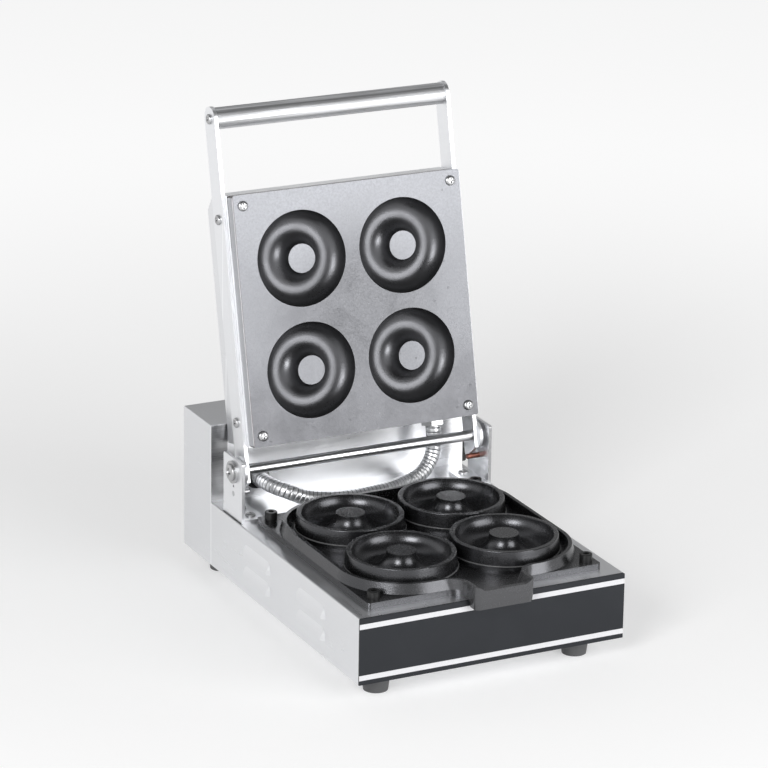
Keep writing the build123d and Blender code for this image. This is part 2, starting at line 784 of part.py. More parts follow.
# Lid arms: flat bars from the hinge to the handle, their tails cut to lie on the stop pins
stop_angle = radians(stop_face_angle)
stop_reach = stop_pin_dia / 2 + stop_gap
stop_touch_s = -stop_along + stop_reach * cos(stop_angle)
stop_touch_n = stop_across - stop_reach * sin(stop_angle)
tail_front_s = stop_touch_s + (arm_front_n - stop_touch_n) * tan(stop_angle)
tail_low_n = stop_touch_n - (arm_tail + stop_touch_s) / tan(stop_angle)
arm_screw_places = [(lid_low_s + arm_screw_inset, -arm_set_back), (lid_high_s - arm_screw_inset, -arm_set_back)]


def lid_arm(start):
    """One arm, drawn from a distance along X out to the right of it."""
    with BuildPart() as arm:
        with BuildSketch(arm_plane.offset(start)) as outline:
            with BuildLine():
                Polyline(
                    (handle_s, arm_back_n),
                    (-arm_tail, arm_back_n),
                    (-arm_tail, tail_low_n),
                    (tail_front_s, arm_front_n),
                    (handle_s, arm_front_n),
                )
                ThreePointArc(
                    (handle_s, arm_front_n),
                    (handle_s + arm_width / 2, -arm_set_back),
                    (handle_s, arm_back_n),
                )
            make_face()
            fillet(outline.vertices().sort_by_distance((-arm_tail, arm_back_n))[0], arm_tail_round)
            Circle(rod_dia / 2 + run_clearance, mode=Mode.SUBTRACT)
            with Locations((handle_s, -arm_set_back), *arm_screw_places):
                Circle((m5 + hole_gap) / 2, mode=Mode.SUBTRACT)
        extrude(amount=arm_thick)
    return arm


lid_arm_right = lid_arm(arm_inner)
lid_arm_right.part.label = "lid_arm_right"
export_step(lid_arm_right.part, "parts/lid_arm_right.step")

lid_arm_left = lid_arm(-arm_outer)
lid_arm_left.part.label = "lid_arm_left"
export_step(lid_arm_left.part, "parts/lid_arm_left.step")

# Handle: a tube between the arms, plugged at both ends for its screws
handle_screw = pan_screw(m5, arm_thick + plug_length - m5)
handle_at = hinge + along * handle_s - outward * arm_set_back
handle_right = Plane(origin=handle_at, x_dir=along, z_dir=(1, 0, 0))
handle_left = Plane(origin=handle_at, x_dir=along, z_dir=(-1, 0, 0))
handle_ends = (handle_right, handle_left)
with BuildPart() as handle_tube:
    with BuildSketch(handle_right.offset(-arm_inner)):
        Circle(handle_dia / 2)
        Circle(handle_dia / 2 - handle_wall, mode=Mode.SUBTRACT)
    extrude(amount=2 * arm_inner)
handle_tube.part.label = "handle_tube"
export_step(handle_tube.part, "parts/handle_tube.step")

with BuildPart() as handle_plugs:
    for end in handle_ends:
        with BuildSketch(end.offset(arm_inner)):
            Circle(handle_dia / 2 - handle_wall - fit_gap)
            Circle((m5 + hole_gap) / 2, mode=Mode.SUBTRACT)
        extrude(amount=-plug_length)
handle_plugs.part.label = "handle_plugs"
export_step(handle_plugs.part, "parts/handle_plugs.step")

with BuildPart() as handle_screws:
    for end in handle_ends:
        with Locations(end.offset(arm_outer)):
            add(handle_screw)
handle_screws.part.label = "handle_screws"
export_step(handle_screws.part, "parts/handle_screws.step")

arm_screw = pan_screw(m5, arm_thick + sheet + m6)
with BuildPart() as arm_screws:
    for end in handle_ends:
        for place, _ in arm_screw_places:
            with Locations(end.offset(arm_outer)):
                with Locations((place - handle_s, 0)):
                    add(arm_screw)
arm_screws.part.label = "arm_screws"
export_step(arm_screws.part, "parts/arm_screws.step")

# Upper plate: a cast slab with four ring hollows in front and bosses behind
with BuildPart() as upper_plate:
    with BuildSketch(lid_plane.offset(plate_back_n)):
        with Locations((0, lid_mid_s)):
            RectangleRounded(plate_size, plate_size, plate_corner)
    extrude(amount=upper_edge_thick)
    with BuildSketch(lid_plane.offset(plate_back_n)):
        with Locations((0, lid_mid_s)):
            with GridLocations(ring_pitch, ring_pitch, 2, 2):
                Circle(ring_outer / 2 + boss_wall)
    extrude(amount=-boss_depth, taper=cup_draft)
    with Locations(lid_face):
        with Locations((0, lid_mid_s)):
            with GridLocations(ring_pitch, ring_pitch, 2, 2):
                add(ring_hollow.part, mode=Mode.SUBTRACT)
            with GridLocations(screw_pitch, screw_pitch, 2, 2):
                Hole((m5 + hole_gap) / 2, depth=upper_edge_thick)
    with Locations(lid_plane.offset(boss_back_n)):
        with Locations((0, lid_mid_s)):
            with GridLocations(ring_pitch, 2 * clamp_offset, 2, 2):
                Cylinder((m4 + hole_gap) / 2, m4, mode=Mode.SUBTRACT)
upper_plate.part.label = "upper_plate"
export_step(upper_plate.part, "parts/upper_plate.step")

plate_screw = pan_screw(m5, upper_edge_thick + m6 + m5)
with BuildPart() as upper_plate_screws:
    with Locations(lid_face):
        with Locations((0, lid_mid_s)):
            with GridLocations(screw_pitch, screw_pitch, 2, 2):
                add(plate_screw)
upper_plate_screws.part.label = "upper_plate_screws"
export_step(upper_plate_screws.part, "parts/upper_plate_screws.step")

# Lid cover: a folded box behind the upper plate, its top rear edge bent in
cover_front_n = plate_back_n
with BuildPart() as lid_cover:
    with BuildSketch(arm_plane.offset(-cover_half)):
        with BuildLine():
            Polyline(
                (lid_low_s, cover_front_n),
                (lid_low_s, -lid_back),
                (lid_high_s - lid_chamfer, -lid_back),
                (lid_high_s, -lid_back + lid_chamfer),
                (lid_high_s, cover_front_n),
                close=True,
            )
        make_face()
    extrude(amount=2 * cover_half)
    open_front = lid_cover.faces().sort_by(Axis(hinge, outward))[-1]
    offset(amount=-sheet, openings=open_front)
    with BuildSketch(arm_plane.offset(-cover_half)):
        with Locations(*arm_screw_places):
            Circle((m5 + hole_gap) / 2)
    extrude(amount=2 * cover_half, mode=Mode.SUBTRACT)
    lid_low_wall = Plane(origin=hinge + along * lid_low_s, x_dir=(1, 0, 0), z_dir=along * -1)
    with BuildSketch(lid_low_wall):
        with Locations((hose_lid_x, -hose_lid_back)):
            Circle((neck_dia + hole_gap) / 2)
    extrude(amount=-sheet, mode=Mode.SUBTRACT)
lid_cover.part.label = "lid_cover"
export_step(lid_cover.part, "parts/lid_cover.step")

block_width = 2 * (cover_half - sheet - screw_pitch / 2)
block_inset = sheet + block_length / 2
with BuildPart() as lid_blocks:
    with BuildSketch(lid_plane.offset(plate_back_n)):
        with Locations((0, lid_mid_s)):
            with GridLocations(screw_pitch, plate_size - 2 * block_inset, 2, 2):
                Rectangle(block_width, block_length)
            with GridLocations(screw_pitch, screw_pitch, 2, 2):
                Circle((m5 + hole_gap) / 2, mode=Mode.SUBTRACT)
    extrude(amount=-block_depth)
    with BuildSketch(arm_plane.offset(-cover_half)):
        with Locations(*arm_screw_places):
            Circle((m5 + hole_gap) / 2)
    extrude(amount=2 * cover_half, mode=Mode.SUBTRACT)
lid_blocks.part.label = "lid_blocks"
export_step(lid_blocks.part, "parts/lid_blocks.step")


# Heating elements: tubes bent in a flat loop, pressed on the plates by two bars
def element_route(terminal):
    """Corner points of a heater, its two ends at a distance behind the plate's middle."""
    half_route = [
        (element_terminal, terminal),
        (element_terminal, terminal - element_lead),
        (element_half, terminal - element_lead),
        (element_half, -element_far),
    ]
    return [(-x, y) for x, y in half_route] + [(x, y) for x, y in reversed(half_route)]


def heater(plane, terminal):
    """A bent heater tube in a plane."""
    with BuildPart() as tube:
        with BuildLine(plane):
            route = FilletPolyline(*element_route(terminal), radius=element_bend)
        with BuildSketch(Plane(origin=route @ 0, z_dir=route % 0)):
            Circle(element_dia / 2)
        sweep()
    return tube


heater_drop = element_dia / 2 + seat_gap
pan_half = plate_half - pan_inset
lower_element = heater(plate_seat.offset(-heater_drop), pan_half - 3 * shield_sheet)
lower_element.part.label = "lower_element"
export_step(lower_element.part, "parts/lower_element.step")

upper_heater_plane = Plane(
    origin=hinge + along * lid_mid_s + outward * (boss_back_n - heater_drop), x_dir=(-1, 0, 0), z_dir=outward
)
upper_element = heater(upper_heater_plane, plate_half - return_flange)
upper_element.part.label = "upper_element"
export_step(upper_element.part, "parts/upper_element.step")

clamp_drop = element_dia + 2 * seat_gap
lower_clamp_screw = pan_screw(m5, clamp_thick + clamp_drop + flange_thick - 2 * panel_thick)
with BuildPart() as lower_clamps:
    with BuildSketch(plate_seat.offset(-clamp_drop)):
        with GridLocations(1, 2 * clamp_offset, 1, 2):
            Rectangle(clamp_length, clamp_width)
            Circle((m5 + hole_gap) / 2, mode=Mode.SUBTRACT)
    extrude(amount=-clamp_thick)
lower_clamps.part.label = "lower_clamps"
export_step(lower_clamps.part, "parts/lower_clamps.step")

with BuildPart() as lower_clamp_screws:
    with Locations(Plane((0, plate_y, deck_z - clamp_drop - clamp_thick), z_dir=(0, 0, -1))):
        with GridLocations(1, 2 * clamp_offset, 1, 2):
            add(lower_clamp_screw)
lower_clamp_screws.part.label = "lower_clamp_screws"
export_step(lower_clamp_screws.part, "parts/lower_clamp_screws.step")

upper_clamp_screw = pan_screw(m4, clamp_thick + clamp_drop + m4 / 4)
with BuildPart() as upper_clamps:
    with BuildSketch(lid_plane.offset(boss_back_n - clamp_drop)):
        with Locations((0, lid_mid_s)):
            with GridLocations(1, 2 * clamp_offset, 1, 2):
                Rectangle(clamp_length, clamp_width)
            with GridLocations(ring_pitch, 2 * clamp_offset, 2, 2):
                Circle((m4 + hole_gap) / 2, mode=Mode.SUBTRACT)
    extrude(amount=-clamp_thick)
upper_clamps.part.label = "upper_clamps"
export_step(upper_clamps.part, "parts/upper_clamps.step")

with BuildPart() as upper_clamp_screws:
    clamp_back = hinge + along * lid_mid_s + outward * (boss_back_n - clamp_drop - clamp_thick)
    with Locations(Plane(origin=clamp_back, x_dir=(1, 0, 0), z_dir=outward * -1)):
        with GridLocations(ring_pitch, 2 * clamp_offset, 2, 2):
            add(upper_clamp_screw)
upper_clamp_screws.part.label = "upper_clamp_screws"
export_step(upper_clamp_screws.part, "parts/upper_clamp_screws.step")

# Heat shield pan under the deck, with wool on its floor, and wool on the lid's back
shield_half = plate_half - shield_inset
with BuildPart() as lower_heat_shield:
    with BuildSketch(under_deck):
        Rectangle(2 * shield_half, 2 * shield_half)
        with GridLocations(screw_pitch, screw_pitch, 2, 2):
            Circle((m6 + hole_gap) / 2, mode=Mode.SUBTRACT)
    extrude(amount=-shield_sheet)
    with BuildSketch(under_deck):
        Rectangle(2 * pan_half, 2 * pan_half)
    extrude(amount=-pan_depth)
    with BuildSketch(under_deck):
        Rectangle(2 * (pan_half - shield_sheet), 2 * (pan_half - shield_sheet))
    extrude(amount=-(pan_depth - shield_sheet), mode=Mode.SUBTRACT)
    with BuildSketch(Plane.XZ.offset(-(plate_y + pan_half))):
        with Locations((0, deck_z - sheet - pan_depth / 2)):
            with GridLocations(2 * element_terminal, 1, 2, 1):
                Circle(element_dia / 2)
    extrude(amount=shield_sheet, mode=Mode.SUBTRACT)
lower_heat_shield.part.label = "lower_heat_shield"
export_step(lower_heat_shield.part, "parts/lower_heat_shield.step")

with BuildPart() as lower_wool:
    with BuildSketch(under_deck.offset(-(pan_depth - shield_sheet))):
        Rectangle(2 * (pan_half - 2 * shield_sheet), 2 * (pan_half - 2 * shield_sheet))
    extrude(amount=wool_thick - 2 * shield_sheet)
lower_wool.part.label = "lower_wool"
export_step(lower_wool.part, "parts/lower_wool.step")

wool_high_s = lid_high_s - lid_chamfer - sheet
wool_low_s = lid_low_s + return_flange
with BuildPart() as upper_wool:
    with BuildSketch(lid_plane.offset(-lid_back + sheet)):
        with Locations((0, (wool_low_s + wool_high_s) / 2)):
            Rectangle(2 * (cover_half - 2 * sheet), wool_high_s - wool_low_s)
    extrude(amount=wool_thick)
upper_wool.part.label = "upper_wool"
export_step(upper_wool.part, "parts/upper_wool.step")

# Conduit fittings: grommet and ferrule in the rear box, nut and neck on the lid
grommet_at = Plane(origin=(-hose_left, box_y, grommet_z), x_dir=(1, 0, 0), z_dir=(0, -1, 0))
with BuildPart() as conduit_grommet:
    with BuildSketch(grommet_at):
        Circle(grommet_dia / 2)
    extrude(amount=grommet_thick)
    chamfer(conduit_grommet.faces().sort_by(Axis.Y)[0].edges(), grommet_thick / 2)
    with BuildSketch(grommet_at):
        Circle((ferrule_dia + grommet_thick - hole_gap) / 2)
    extrude(amount=-sheet)
    with BuildSketch(grommet_at.offset(-sheet)):
        Circle(grommet_dia / 2)
    extrude(amount=-grommet_thick)
    with BuildSketch(grommet_at.offset(-sheet - grommet_thick)):
        Circle((ferrule_dia + hole_gap) / 2)
    extrude(amount=2 * grommet_thick + sheet, mode=Mode.SUBTRACT)
conduit_grommet.part.label = "conduit_grommet"
export_step(conduit_grommet.part, "parts/conduit_grommet.step")

ferrule_tail = 2 * grommet_thick + sheet
with BuildPart() as conduit_ferrule:
    with BuildSketch(grommet_at.offset(-ferrule_tail)):
        Circle(ferrule_dia / 2)
        Circle(hose_bore / 2, mode=Mode.SUBTRACT)
    extrude(amount=ferrule_tail + grommet_thick + ferrule_length)
    chamfer(conduit_ferrule.faces().sort_by(Axis.Y)[0].edges().sort_by(SortBy.LENGTH)[-1], hose_groove / 2)
conduit_ferrule.part.label = "conduit_ferrule"
export_step(conduit_ferrule.part, "parts/conduit_ferrule.step")

lid_nut = hex_nut(lid_nut_flats, lid_nut_height, neck_dia + hole_gap)
lid_fitting = lid_low_wall.origin + Vector(hose_lid_x, 0, 0) - outward * hose_lid_back
fitting_plane = Plane(origin=lid_fitting, x_dir=(1, 0, 0), z_dir=along * -1)
lock_nut = hex_nut(lid_nut_flats, lid_nut_height / 2, neck_dia + hole_gap)
with BuildPart() as conduit_nuts:
    with Locations(fitting_plane):
        add(lid_nut)
    with Locations(fitting_plane.offset(-sheet - lid_nut_height / 2)):
        add(lock_nut)
conduit_nuts.part.label = "conduit_nuts"
export_step(conduit_nuts.part, "parts/conduit_nuts.step")

neck_reach = lid_nut_height + hose_groove
with BuildPart() as conduit_neck:
    with BuildSketch(fitting_plane.offset(-sheet - lid_nut_height)):
        Circle(neck_dia / 2)
        Circle(hose_bore / 2 - hose_groove, mode=Mode.SUBTRACT)
    extrude(amount=sheet + lid_nut_height + neck_reach)
conduit_neck.part.label = "conduit_neck"
export_step(conduit_neck.part, "parts/conduit_neck.step")

# Ribbed conduit: straight runs and arcs between the two fittings, resting on the deck
hose_start = Vector(-hose_left, box_y - grommet_thick - ferrule_length - seat_gap, grommet_z)
hose_end = lid_fitting - along * (neck_reach + seat_gap)
rest_z = deck_z + hose_rest
hose_points = [
    hose_start,
    hose_start + Vector(0, -25.5, -0.4),
    Vector(-65.3, hinge_y - 11.4, rest_z + 8.0),
    Vector(-40.0, hinge_y - 9.5, rest_z + 4.5),
    Vector(4.0, hinge_y - 3.0, rest_z + 0.5),
    Vector(38.0, hinge_y + 3.0, rest_z),
    Vector(hose_lid_x - 19.3, hinge_y + 6.5, rest_z),
    hose_end - along * 26.2,
    hose_end,
]
run_share = 0.45
hose_radii = []
for before, corner, after in zip(hose_points, hose_points[1:], hose_points[2:]):
    run_in = corner - before
    run_out = after - corner
    half_turn = radians(run_in.get_angle(run_out)) / 2
    hose_radii.append(run_share * min(run_in.length, run_out.length) / tan(half_turn))
print("hose bend radii, mm:", [round(radius, 1) for radius in hose_radii])

with BuildLine() as hose_line:
    FilletPolyline(*hose_points, radius=hose_radii)
hose_route = hose_line.wires()[0]
rib_stations = []
for rib in range(hose_ribs):
    for share, radius in ((0.0, 1), (0.2, 0), (0.55, 0), (0.75, 1)):
        rib_stations.append(((rib + share) / hose_ribs, hose_dia / 2 - radius * hose_groove))
rib_stations.append((1.0, hose_dia / 2 - hose_groove))
steady = Vector(1, 1, -1)


def hose_section(share, radius):
    """Circle across the hose at a share of its length, turned to a steady X axis."""
    heading = hose_route.tangent_at(share)
    sideways = steady - heading * steady.dot(heading)
    with BuildSketch(Plane(origin=hose_route.position_at(share), x_dir=sideways, z_dir=heading)) as section:
        Circle(radius)
    return section.sketch


with BuildPart() as flex_conduit:
    loft([hose_section(share, radius) for share, radius in rib_stations], ruled=True)
    sweep(hose_section(0, hose_bore / 2), path=hose_route, mode=Mode.SUBTRACT)
flex_conduit.part.label = "flex_conduit"
export_step(flex_conduit.part, "parts/flex_conduit.step")
print("hose length, mm:", round(hose_route.length, 1))

# Controls on the right side of the rear box: timer, thermostat, lamps and switch
control_nut = hex_nut(control_nut_flats, control_nut_height, bushing_dia + hole_gap)
timer_wall = Plane(origin=(base_half, box_mid_y, base_z + timer_height), x_dir=(0, 1, 0), z_dir=(1, 0, 0))
thermostat_wall = Plane(origin=(base_half, box_mid_y, base_z + thermostat_height), x_dir=(0, 1, 0), z_dir=(1, 0, 0))


def control_body(wall, width, depth):
    """Works behind the wall, with a bushing through it and a shaft for the knob."""
    with BuildPart() as body:
        with BuildSketch(wall.offset(-sheet)):
            RectangleRounded(width, width, plate_corner)
        extrude(amount=-depth)
        with BuildSketch(wall.offset(-sheet)):
            Circle(bushing_dia / 2)
        extrude(amount=sheet + bushing_reach)
        with BuildSketch(wall):
            Circle(shaft_dia / 2)
        extrude(amount=shaft_reach)
    return body


def control_knob(wall):
    """Round knob with a finger bar across it, hollow underneath to clear the nut."""
    with BuildPart() as knob:
        with BuildSketch(wall.offset(knob_lift)):
            Circle(knob_dia / 2)
        extrude(amount=knob_skirt, taper=moulding_draft)
        with BuildSketch(wall.offset(knob_lift + knob_skirt)):
            SlotOverall(knob_dia - 2 * knob_skirt, knob_grip_width, rotation=90)
        extrude(amount=knob_grip_height, taper=grip_draft)
        fillet(knob.faces().sort_by(Axis.X)[-1].edges(), knob_lift)
        with BuildSketch(wall.offset(knob_lift)):
            Circle(knob_recess_dia / 2)
        extrude(amount=knob_recess, mode=Mode.SUBTRACT)
        with BuildSketch(wall.offset(knob_lift)):
            Circle(shaft_dia / 2 + run_clearance)
        extrude(amount=shaft_reach, mode=Mode.SUBTRACT)
    return knob


timer_body = control_body(timer_wall, timer_size, timer_depth)
timer_body.part.label = "timer_body"
export_step(timer_body.part, "parts/timer_body.step")

thermostat_body = control_body(thermostat_wall, thermostat_size, thermostat_depth)
thermostat_body.part.label = "thermostat_body"
export_step(thermostat_body.part, "parts/thermostat_body.step")

timer_knob = control_knob(timer_wall)
timer_knob.part.label = "timer_knob"
export_step(timer_knob.part, "parts/timer_knob.step")

thermostat_knob = control_knob(thermostat_wall)
thermostat_knob.part.label = "thermostat_knob"
export_step(thermostat_knob.part, "parts/thermostat_knob.step")

with BuildPart() as control_nuts:
    for wall in (timer_wall, thermostat_wall):
        with Locations(wall):
            add(control_nut)
control_nuts.part.label = "control_nuts"
export_step(control_nuts.part, "parts/control_nuts.step")

lamp_wall = Plane(origin=(base_half, box_mid_y, base_z + lamp_height), x_dir=(0, 1, 0), z_dir=(1, 0, 0))
with BuildPart() as indicator_lamps:
    with BuildSketch(lamp_wall.offset(-3 * lamp_dia)):
        with GridLocations(lamp_pitch, 1, 2, 1):
            Circle(lamp_dia / 2)
    extrude(amount=3 * lamp_dia)
    with BuildSketch(lamp_wall):
        with GridLocations(lamp_pitch, 1, 2, 1):
            Circle(lamp_flange / 2)
    extrude(amount=panel_thick)
    with BuildSketch(lamp_wall.offset(panel_thick)):
        with GridLocations(lamp_pitch, 1, 2, 1):
            Circle(lamp_dia / 2)
    extrude(amount=2 * panel_thick)
    fillet(indicator_lamps.faces().group_by(Axis.X)[-1].edges(), panel_thick)
indicator_lamps.part.label = "indicator_lamps"
export_step(indicator_lamps.part, "parts/indicator_lamps.step")

switch_wall = Plane(origin=(base_half, box_mid_y, base_z + switch_height), x_dir=(0, 1, 0), z_dir=(1, 0, 0))
rocker_slot = 2 * (rocker_radius + rocker_gap)
with BuildPart() as switch_body:
    with BuildSketch(switch_wall):
        RectangleRounded(switch_width, switch_length, switch_flange)
    extrude(amount=switch_flange)
    with BuildSketch(switch_wall):
        Rectangle(switch_width - 2 * panel_thick - hole_gap, switch_length - 2 * panel_thick - hole_gap)
    extrude(amount=-switch_body_depth)
    with BuildSketch(switch_wall.offset(switch_flange)):
        Rectangle(rocker_width + 2 * rocker_gap, rocker_slot)
    extrude(amount=-switch_flange - rocker_radius - rocker_gap, mode=Mode.SUBTRACT)
switch_body.part.label = "switch_body"
export_step(switch_body.part, "parts/switch_body.step")

tilt = radians(rocker_tilt)
rocker_rest = Plane(origin=switch_wall.origin, x_dir=(-sin(tilt), 0, cos(tilt)), z_dir=(0, 1, 0))
rocker_rise = rocker_radius * 0.55
rocker_dip = rocker_radius * 0.3
with BuildPart() as switch_rocker:
    with BuildSketch(rocker_rest.offset(-rocker_width / 2)):
        Circle(rocker_radius)
        with BuildLine():
            Polyline(
                (-2 * rocker_radius, -rocker_rise),
                (-2 * rocker_radius, 2 * rocker_rise),
                (0, rocker_dip),
                (2 * rocker_radius, 2 * rocker_rise),
                (2 * rocker_radius, -rocker_rise),
                close=True,
            )
        make_face(mode=Mode.INTERSECT)
    extrude(amount=rocker_width)
switch_rocker.part.label = "switch_rocker"
export_step(switch_rocker.part, "parts/switch_rocker.step")

# Wiring: a terminal block on the bottom plate and a cord gland in the rear cover
with BuildPart() as terminal_block:
    with BuildSketch(Plane((0, box_mid_y, base_z))):
        Rectangle(block_wide, block_deep)
    extrude(amount=block_tall)
    with BuildSketch(Plane((0, box_mid_y, base_z + block_tall))):
        with GridLocations(block_wide / block_ways, 1, block_ways, 1):
            Circle(block_screw_dia / 2)
    extrude(amount=-block_screw_depth, mode=Mode.SUBTRACT)
terminal_block.part.label = "terminal_block"
export_step(terminal_block.part, "parts/terminal_block.step")

gland_at = Plane(origin=(gland_x, rear_y + sheet, base_z + gland_height), x_dir=(-1, 0, 0), z_dir=(0, 1, 0))
gland_thread = gland_dia * 0.7
with BuildPart() as cord_gland:
    with BuildSketch(gland_at.offset(-sheet - gland_reach / 2)):
        Circle(gland_thread / 2)
    extrude(amount=sheet + gland_reach / 2)
    with BuildSketch(gland_at):
        RegularPolygon(gland_dia / 2, 6, major_radius=False)
    extrude(amount=gland_reach / 3)
    with BuildSketch(gland_at.offset(gland_reach / 3)):
        Circle(gland_dia * 0.46)
    extrude(amount=gland_reach * 2 / 3, taper=moulding_draft)
    fillet(cord_gland.faces().sort_by(Axis.Y)[-1].edges(), bend_radius)
    with BuildSketch(gland_at.offset(gland_reach)):
        Circle(gland_bore / 2)
    extrude(amount=-2 * gland_reach, mode=Mode.SUBTRACT)
cord_gland.part.label = "cord_gland"
export_step(cord_gland.part, "parts/cord_gland.step")
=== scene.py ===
# %% [markdown]
# # A ring-cake press, dressed for the camera
#
# The press is a steel box on rubber feet. A black casting with four ring cups lies on its deck, and a
# hinged lid carries the matching plate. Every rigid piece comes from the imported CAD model, which is the
# fixed frame of this scene. Blender adds what CAD leaves out: finishes, the ribbed conduit, a fine bead in
# each cup, the recesses in the screw heads, the stripes and the printed dials.

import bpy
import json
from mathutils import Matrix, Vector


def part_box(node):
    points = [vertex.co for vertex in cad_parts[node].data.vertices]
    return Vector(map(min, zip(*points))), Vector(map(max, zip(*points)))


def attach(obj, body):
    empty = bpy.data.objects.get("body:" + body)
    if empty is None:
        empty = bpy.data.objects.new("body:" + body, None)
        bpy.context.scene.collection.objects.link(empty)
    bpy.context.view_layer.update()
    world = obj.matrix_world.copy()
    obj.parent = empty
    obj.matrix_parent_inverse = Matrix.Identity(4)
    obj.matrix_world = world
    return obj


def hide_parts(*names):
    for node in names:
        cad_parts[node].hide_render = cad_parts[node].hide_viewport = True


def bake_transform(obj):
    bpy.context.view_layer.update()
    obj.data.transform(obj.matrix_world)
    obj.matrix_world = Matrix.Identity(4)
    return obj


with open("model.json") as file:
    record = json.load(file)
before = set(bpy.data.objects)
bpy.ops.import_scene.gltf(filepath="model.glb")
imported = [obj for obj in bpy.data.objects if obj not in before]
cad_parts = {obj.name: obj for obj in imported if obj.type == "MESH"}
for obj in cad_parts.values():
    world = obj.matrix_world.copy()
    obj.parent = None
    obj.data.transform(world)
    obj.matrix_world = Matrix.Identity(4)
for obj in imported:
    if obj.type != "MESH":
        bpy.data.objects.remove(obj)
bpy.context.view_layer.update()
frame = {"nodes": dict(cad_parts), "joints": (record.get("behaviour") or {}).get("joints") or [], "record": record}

import json
from math import cos, pi, radians, sin

import bmesh
import bpy
from mathutils import Matrix, Vector

scene = bpy.context.scene
nodes = frame["nodes"]
mm = 0.001

# %% [markdown]
# ## The camera
#
# The photograph was taken with a long lens from the front left, a little above the press. The camera's
# place came from matching known corners of the press to the picture. A long lens far away keeps upright
# edges nearly parallel, which a short lens close by would not.

# %% Set the camera
camera_turn, camera_tilt, camera_roll = radians(-26.755), radians(18.896), radians(0.848)
camera_place = Vector((-1.5040, -2.9505, 1.3506))
focal_length, sensor_width = 183.31, 36.0
view_depth = 50.0

lens = bpy.data.cameras.new("camera")
lens.lens = focal_length
lens.sensor_width = sensor_width
lens.clip_end = view_depth
camera = bpy.data.objects.new("camera", lens)
scene.collection.objects.link(camera)
camera.matrix_world = (
    Matrix.Translation(camera_place)
    @ Matrix.Rotation(camera_turn, 4, "Z")
    @ Matrix.Rotation(pi / 2 - camera_tilt, 4, "X")
    @ Matrix.Rotation(camera_roll, 4, "Z")
)
scene.camera = camera
scene.view_settings.view_transform = "Standard"
print("camera stands", round(camera_place.length, 2), "m away")

# %% [markdown]
# ## Helpers for shader nodes
#
# Node trees are written in one style here: a small function adds a node, sets its options and fills its
# sockets, either with a number or with another node's output. That keeps each finish readable, because
# the data flow stands in the order in which it happens.

# %% Add and wire shader nodes
green_share = 0.3


def add(tree, kind, sockets=None, **options):
    """Adds a shader node, sets its options, and fills its sockets with numbers or links."""
    made = tree.nodes.new("ShaderNode" + kind)
    for option, value in options.items():
        setattr(made, option, value)
    for socket, value in (sockets or {}).items():
        if isinstance(value, bpy.types.NodeSocket):
            tree.links.new(value, made.inputs[socket])
        else:
            made.inputs[socket].default_value = value
    return made


def ramp(tree, value, low, high, to_low, to_high):
    """Maps a value from one range to another, with soft ends and no overshoot."""
    sockets = {"Value": value, "From Min": low, "From Max": high, "To Min": to_low, "To Max": to_high}
    return add(tree, "MapRange", sockets, interpolation_type="SMOOTHSTEP").outputs["Result"]


def fade(tree, value, low, high, most=1.0):
    """A mask that is nothing at one value and has grown to its most at another."""
    return ramp(tree, value, low, high, 0.0, most)


def sums(tree, kind, first, second=0.0):
    """One step of arithmetic on one or two values."""
    return add(tree, "Math", {0: first, 1: second}, operation=kind).outputs["Value"]


def times(tree, first, *others):
    """Multiplies values or masks."""
    for value in others:
        first = sums(tree, "MULTIPLY", first, value)
    return first


def between(tree, value, low, high, soft=0.2 * mm):
    """One between two values, and nothing outside them."""
    return times(tree, fade(tree, value, low - soft, low), ramp(tree, value, high, high + soft, 1.0, 0.0))


def vector_sums(tree, kind, first, second=(0.0, 0.0, 0.0)):
    """One step of arithmetic on vectors. A length, a distance and a dot product are values."""
    made = add(tree, "VectorMath", {0: first, 1: second}, operation=kind)
    return made.outputs["Value" if kind in ("LENGTH", "DISTANCE", "DOT_PRODUCT") else "Vector"]


def split(tree, vector):
    """The three parts of a vector, named X, Y and Z."""
    return add(tree, "SeparateXYZ", {0: vector}).outputs


def mix_colours(tree, factor, first, second):
    """Mixes two colours by a mask."""
    return add(tree, "Mix", {0: factor, 6: first, 7: second}, data_type="RGBA").outputs[2]


def grey(level, blue=1.03):
    """A neutral colour, very slightly cool, as steel and black coats are under studio light."""
    return (level, level * (1 + green_share * (blue - 1)), level * blue, 1.0)


print("node helpers ready")

# %% [markdown]
# ## The paper floor
#
# The press stands on a white paper sweep, and the camera looks down so far that it only sees the floor. A
# floor of plain light would be white at once, but would lose the soft shadow that makes the press stand. So
# the floor is lit like any surface, and gets a little lift for the rays that show it: camera, mirror and
# glass rays. The lift grows with the distance from the press.

# %% Lay the floor
floor_half = 6.0
floor_colour = grey(0.72, 1.003)
near_lift, far_lift = 0.34, 0.61
lift_from, lift_to = 0.2, 1.7


def seen_directly(tree):
    """One for camera, mirror and glass rays, and nothing for rays that only carry light."""
    path = add(tree, "LightPath")
    shown = sums(tree, "MAXIMUM", path.outputs["Is Camera Ray"], path.outputs["Is Glossy Ray"])
    return sums(tree, "MAXIMUM", shown, path.outputs["Is Transmission Ray"])


def paper_finish():
    """White paper: matte, and lifted a little where it is seen."""
    paper = bpy.data.materials.new("paper_floor")
    paper.use_nodes = True
    tree = paper.node_tree
    tree.nodes.clear()
    matte = add(tree, "BsdfDiffuse", {"Color": floor_colour})
    away = vector_sums(tree, "LENGTH", add(tree, "TexCoord").outputs["Object"])
    strength = ramp(tree, away, lift_from, lift_to, near_lift, far_lift)
    lift = add(tree, "Emission", {"Strength": times(tree, seen_directly(tree), strength)})
    both = add(tree, "AddShader", {0: matte.outputs[0], 1: lift.outputs[0]})
    add(tree, "OutputMaterial", {"Surface": both.outputs[0]})
    return paper


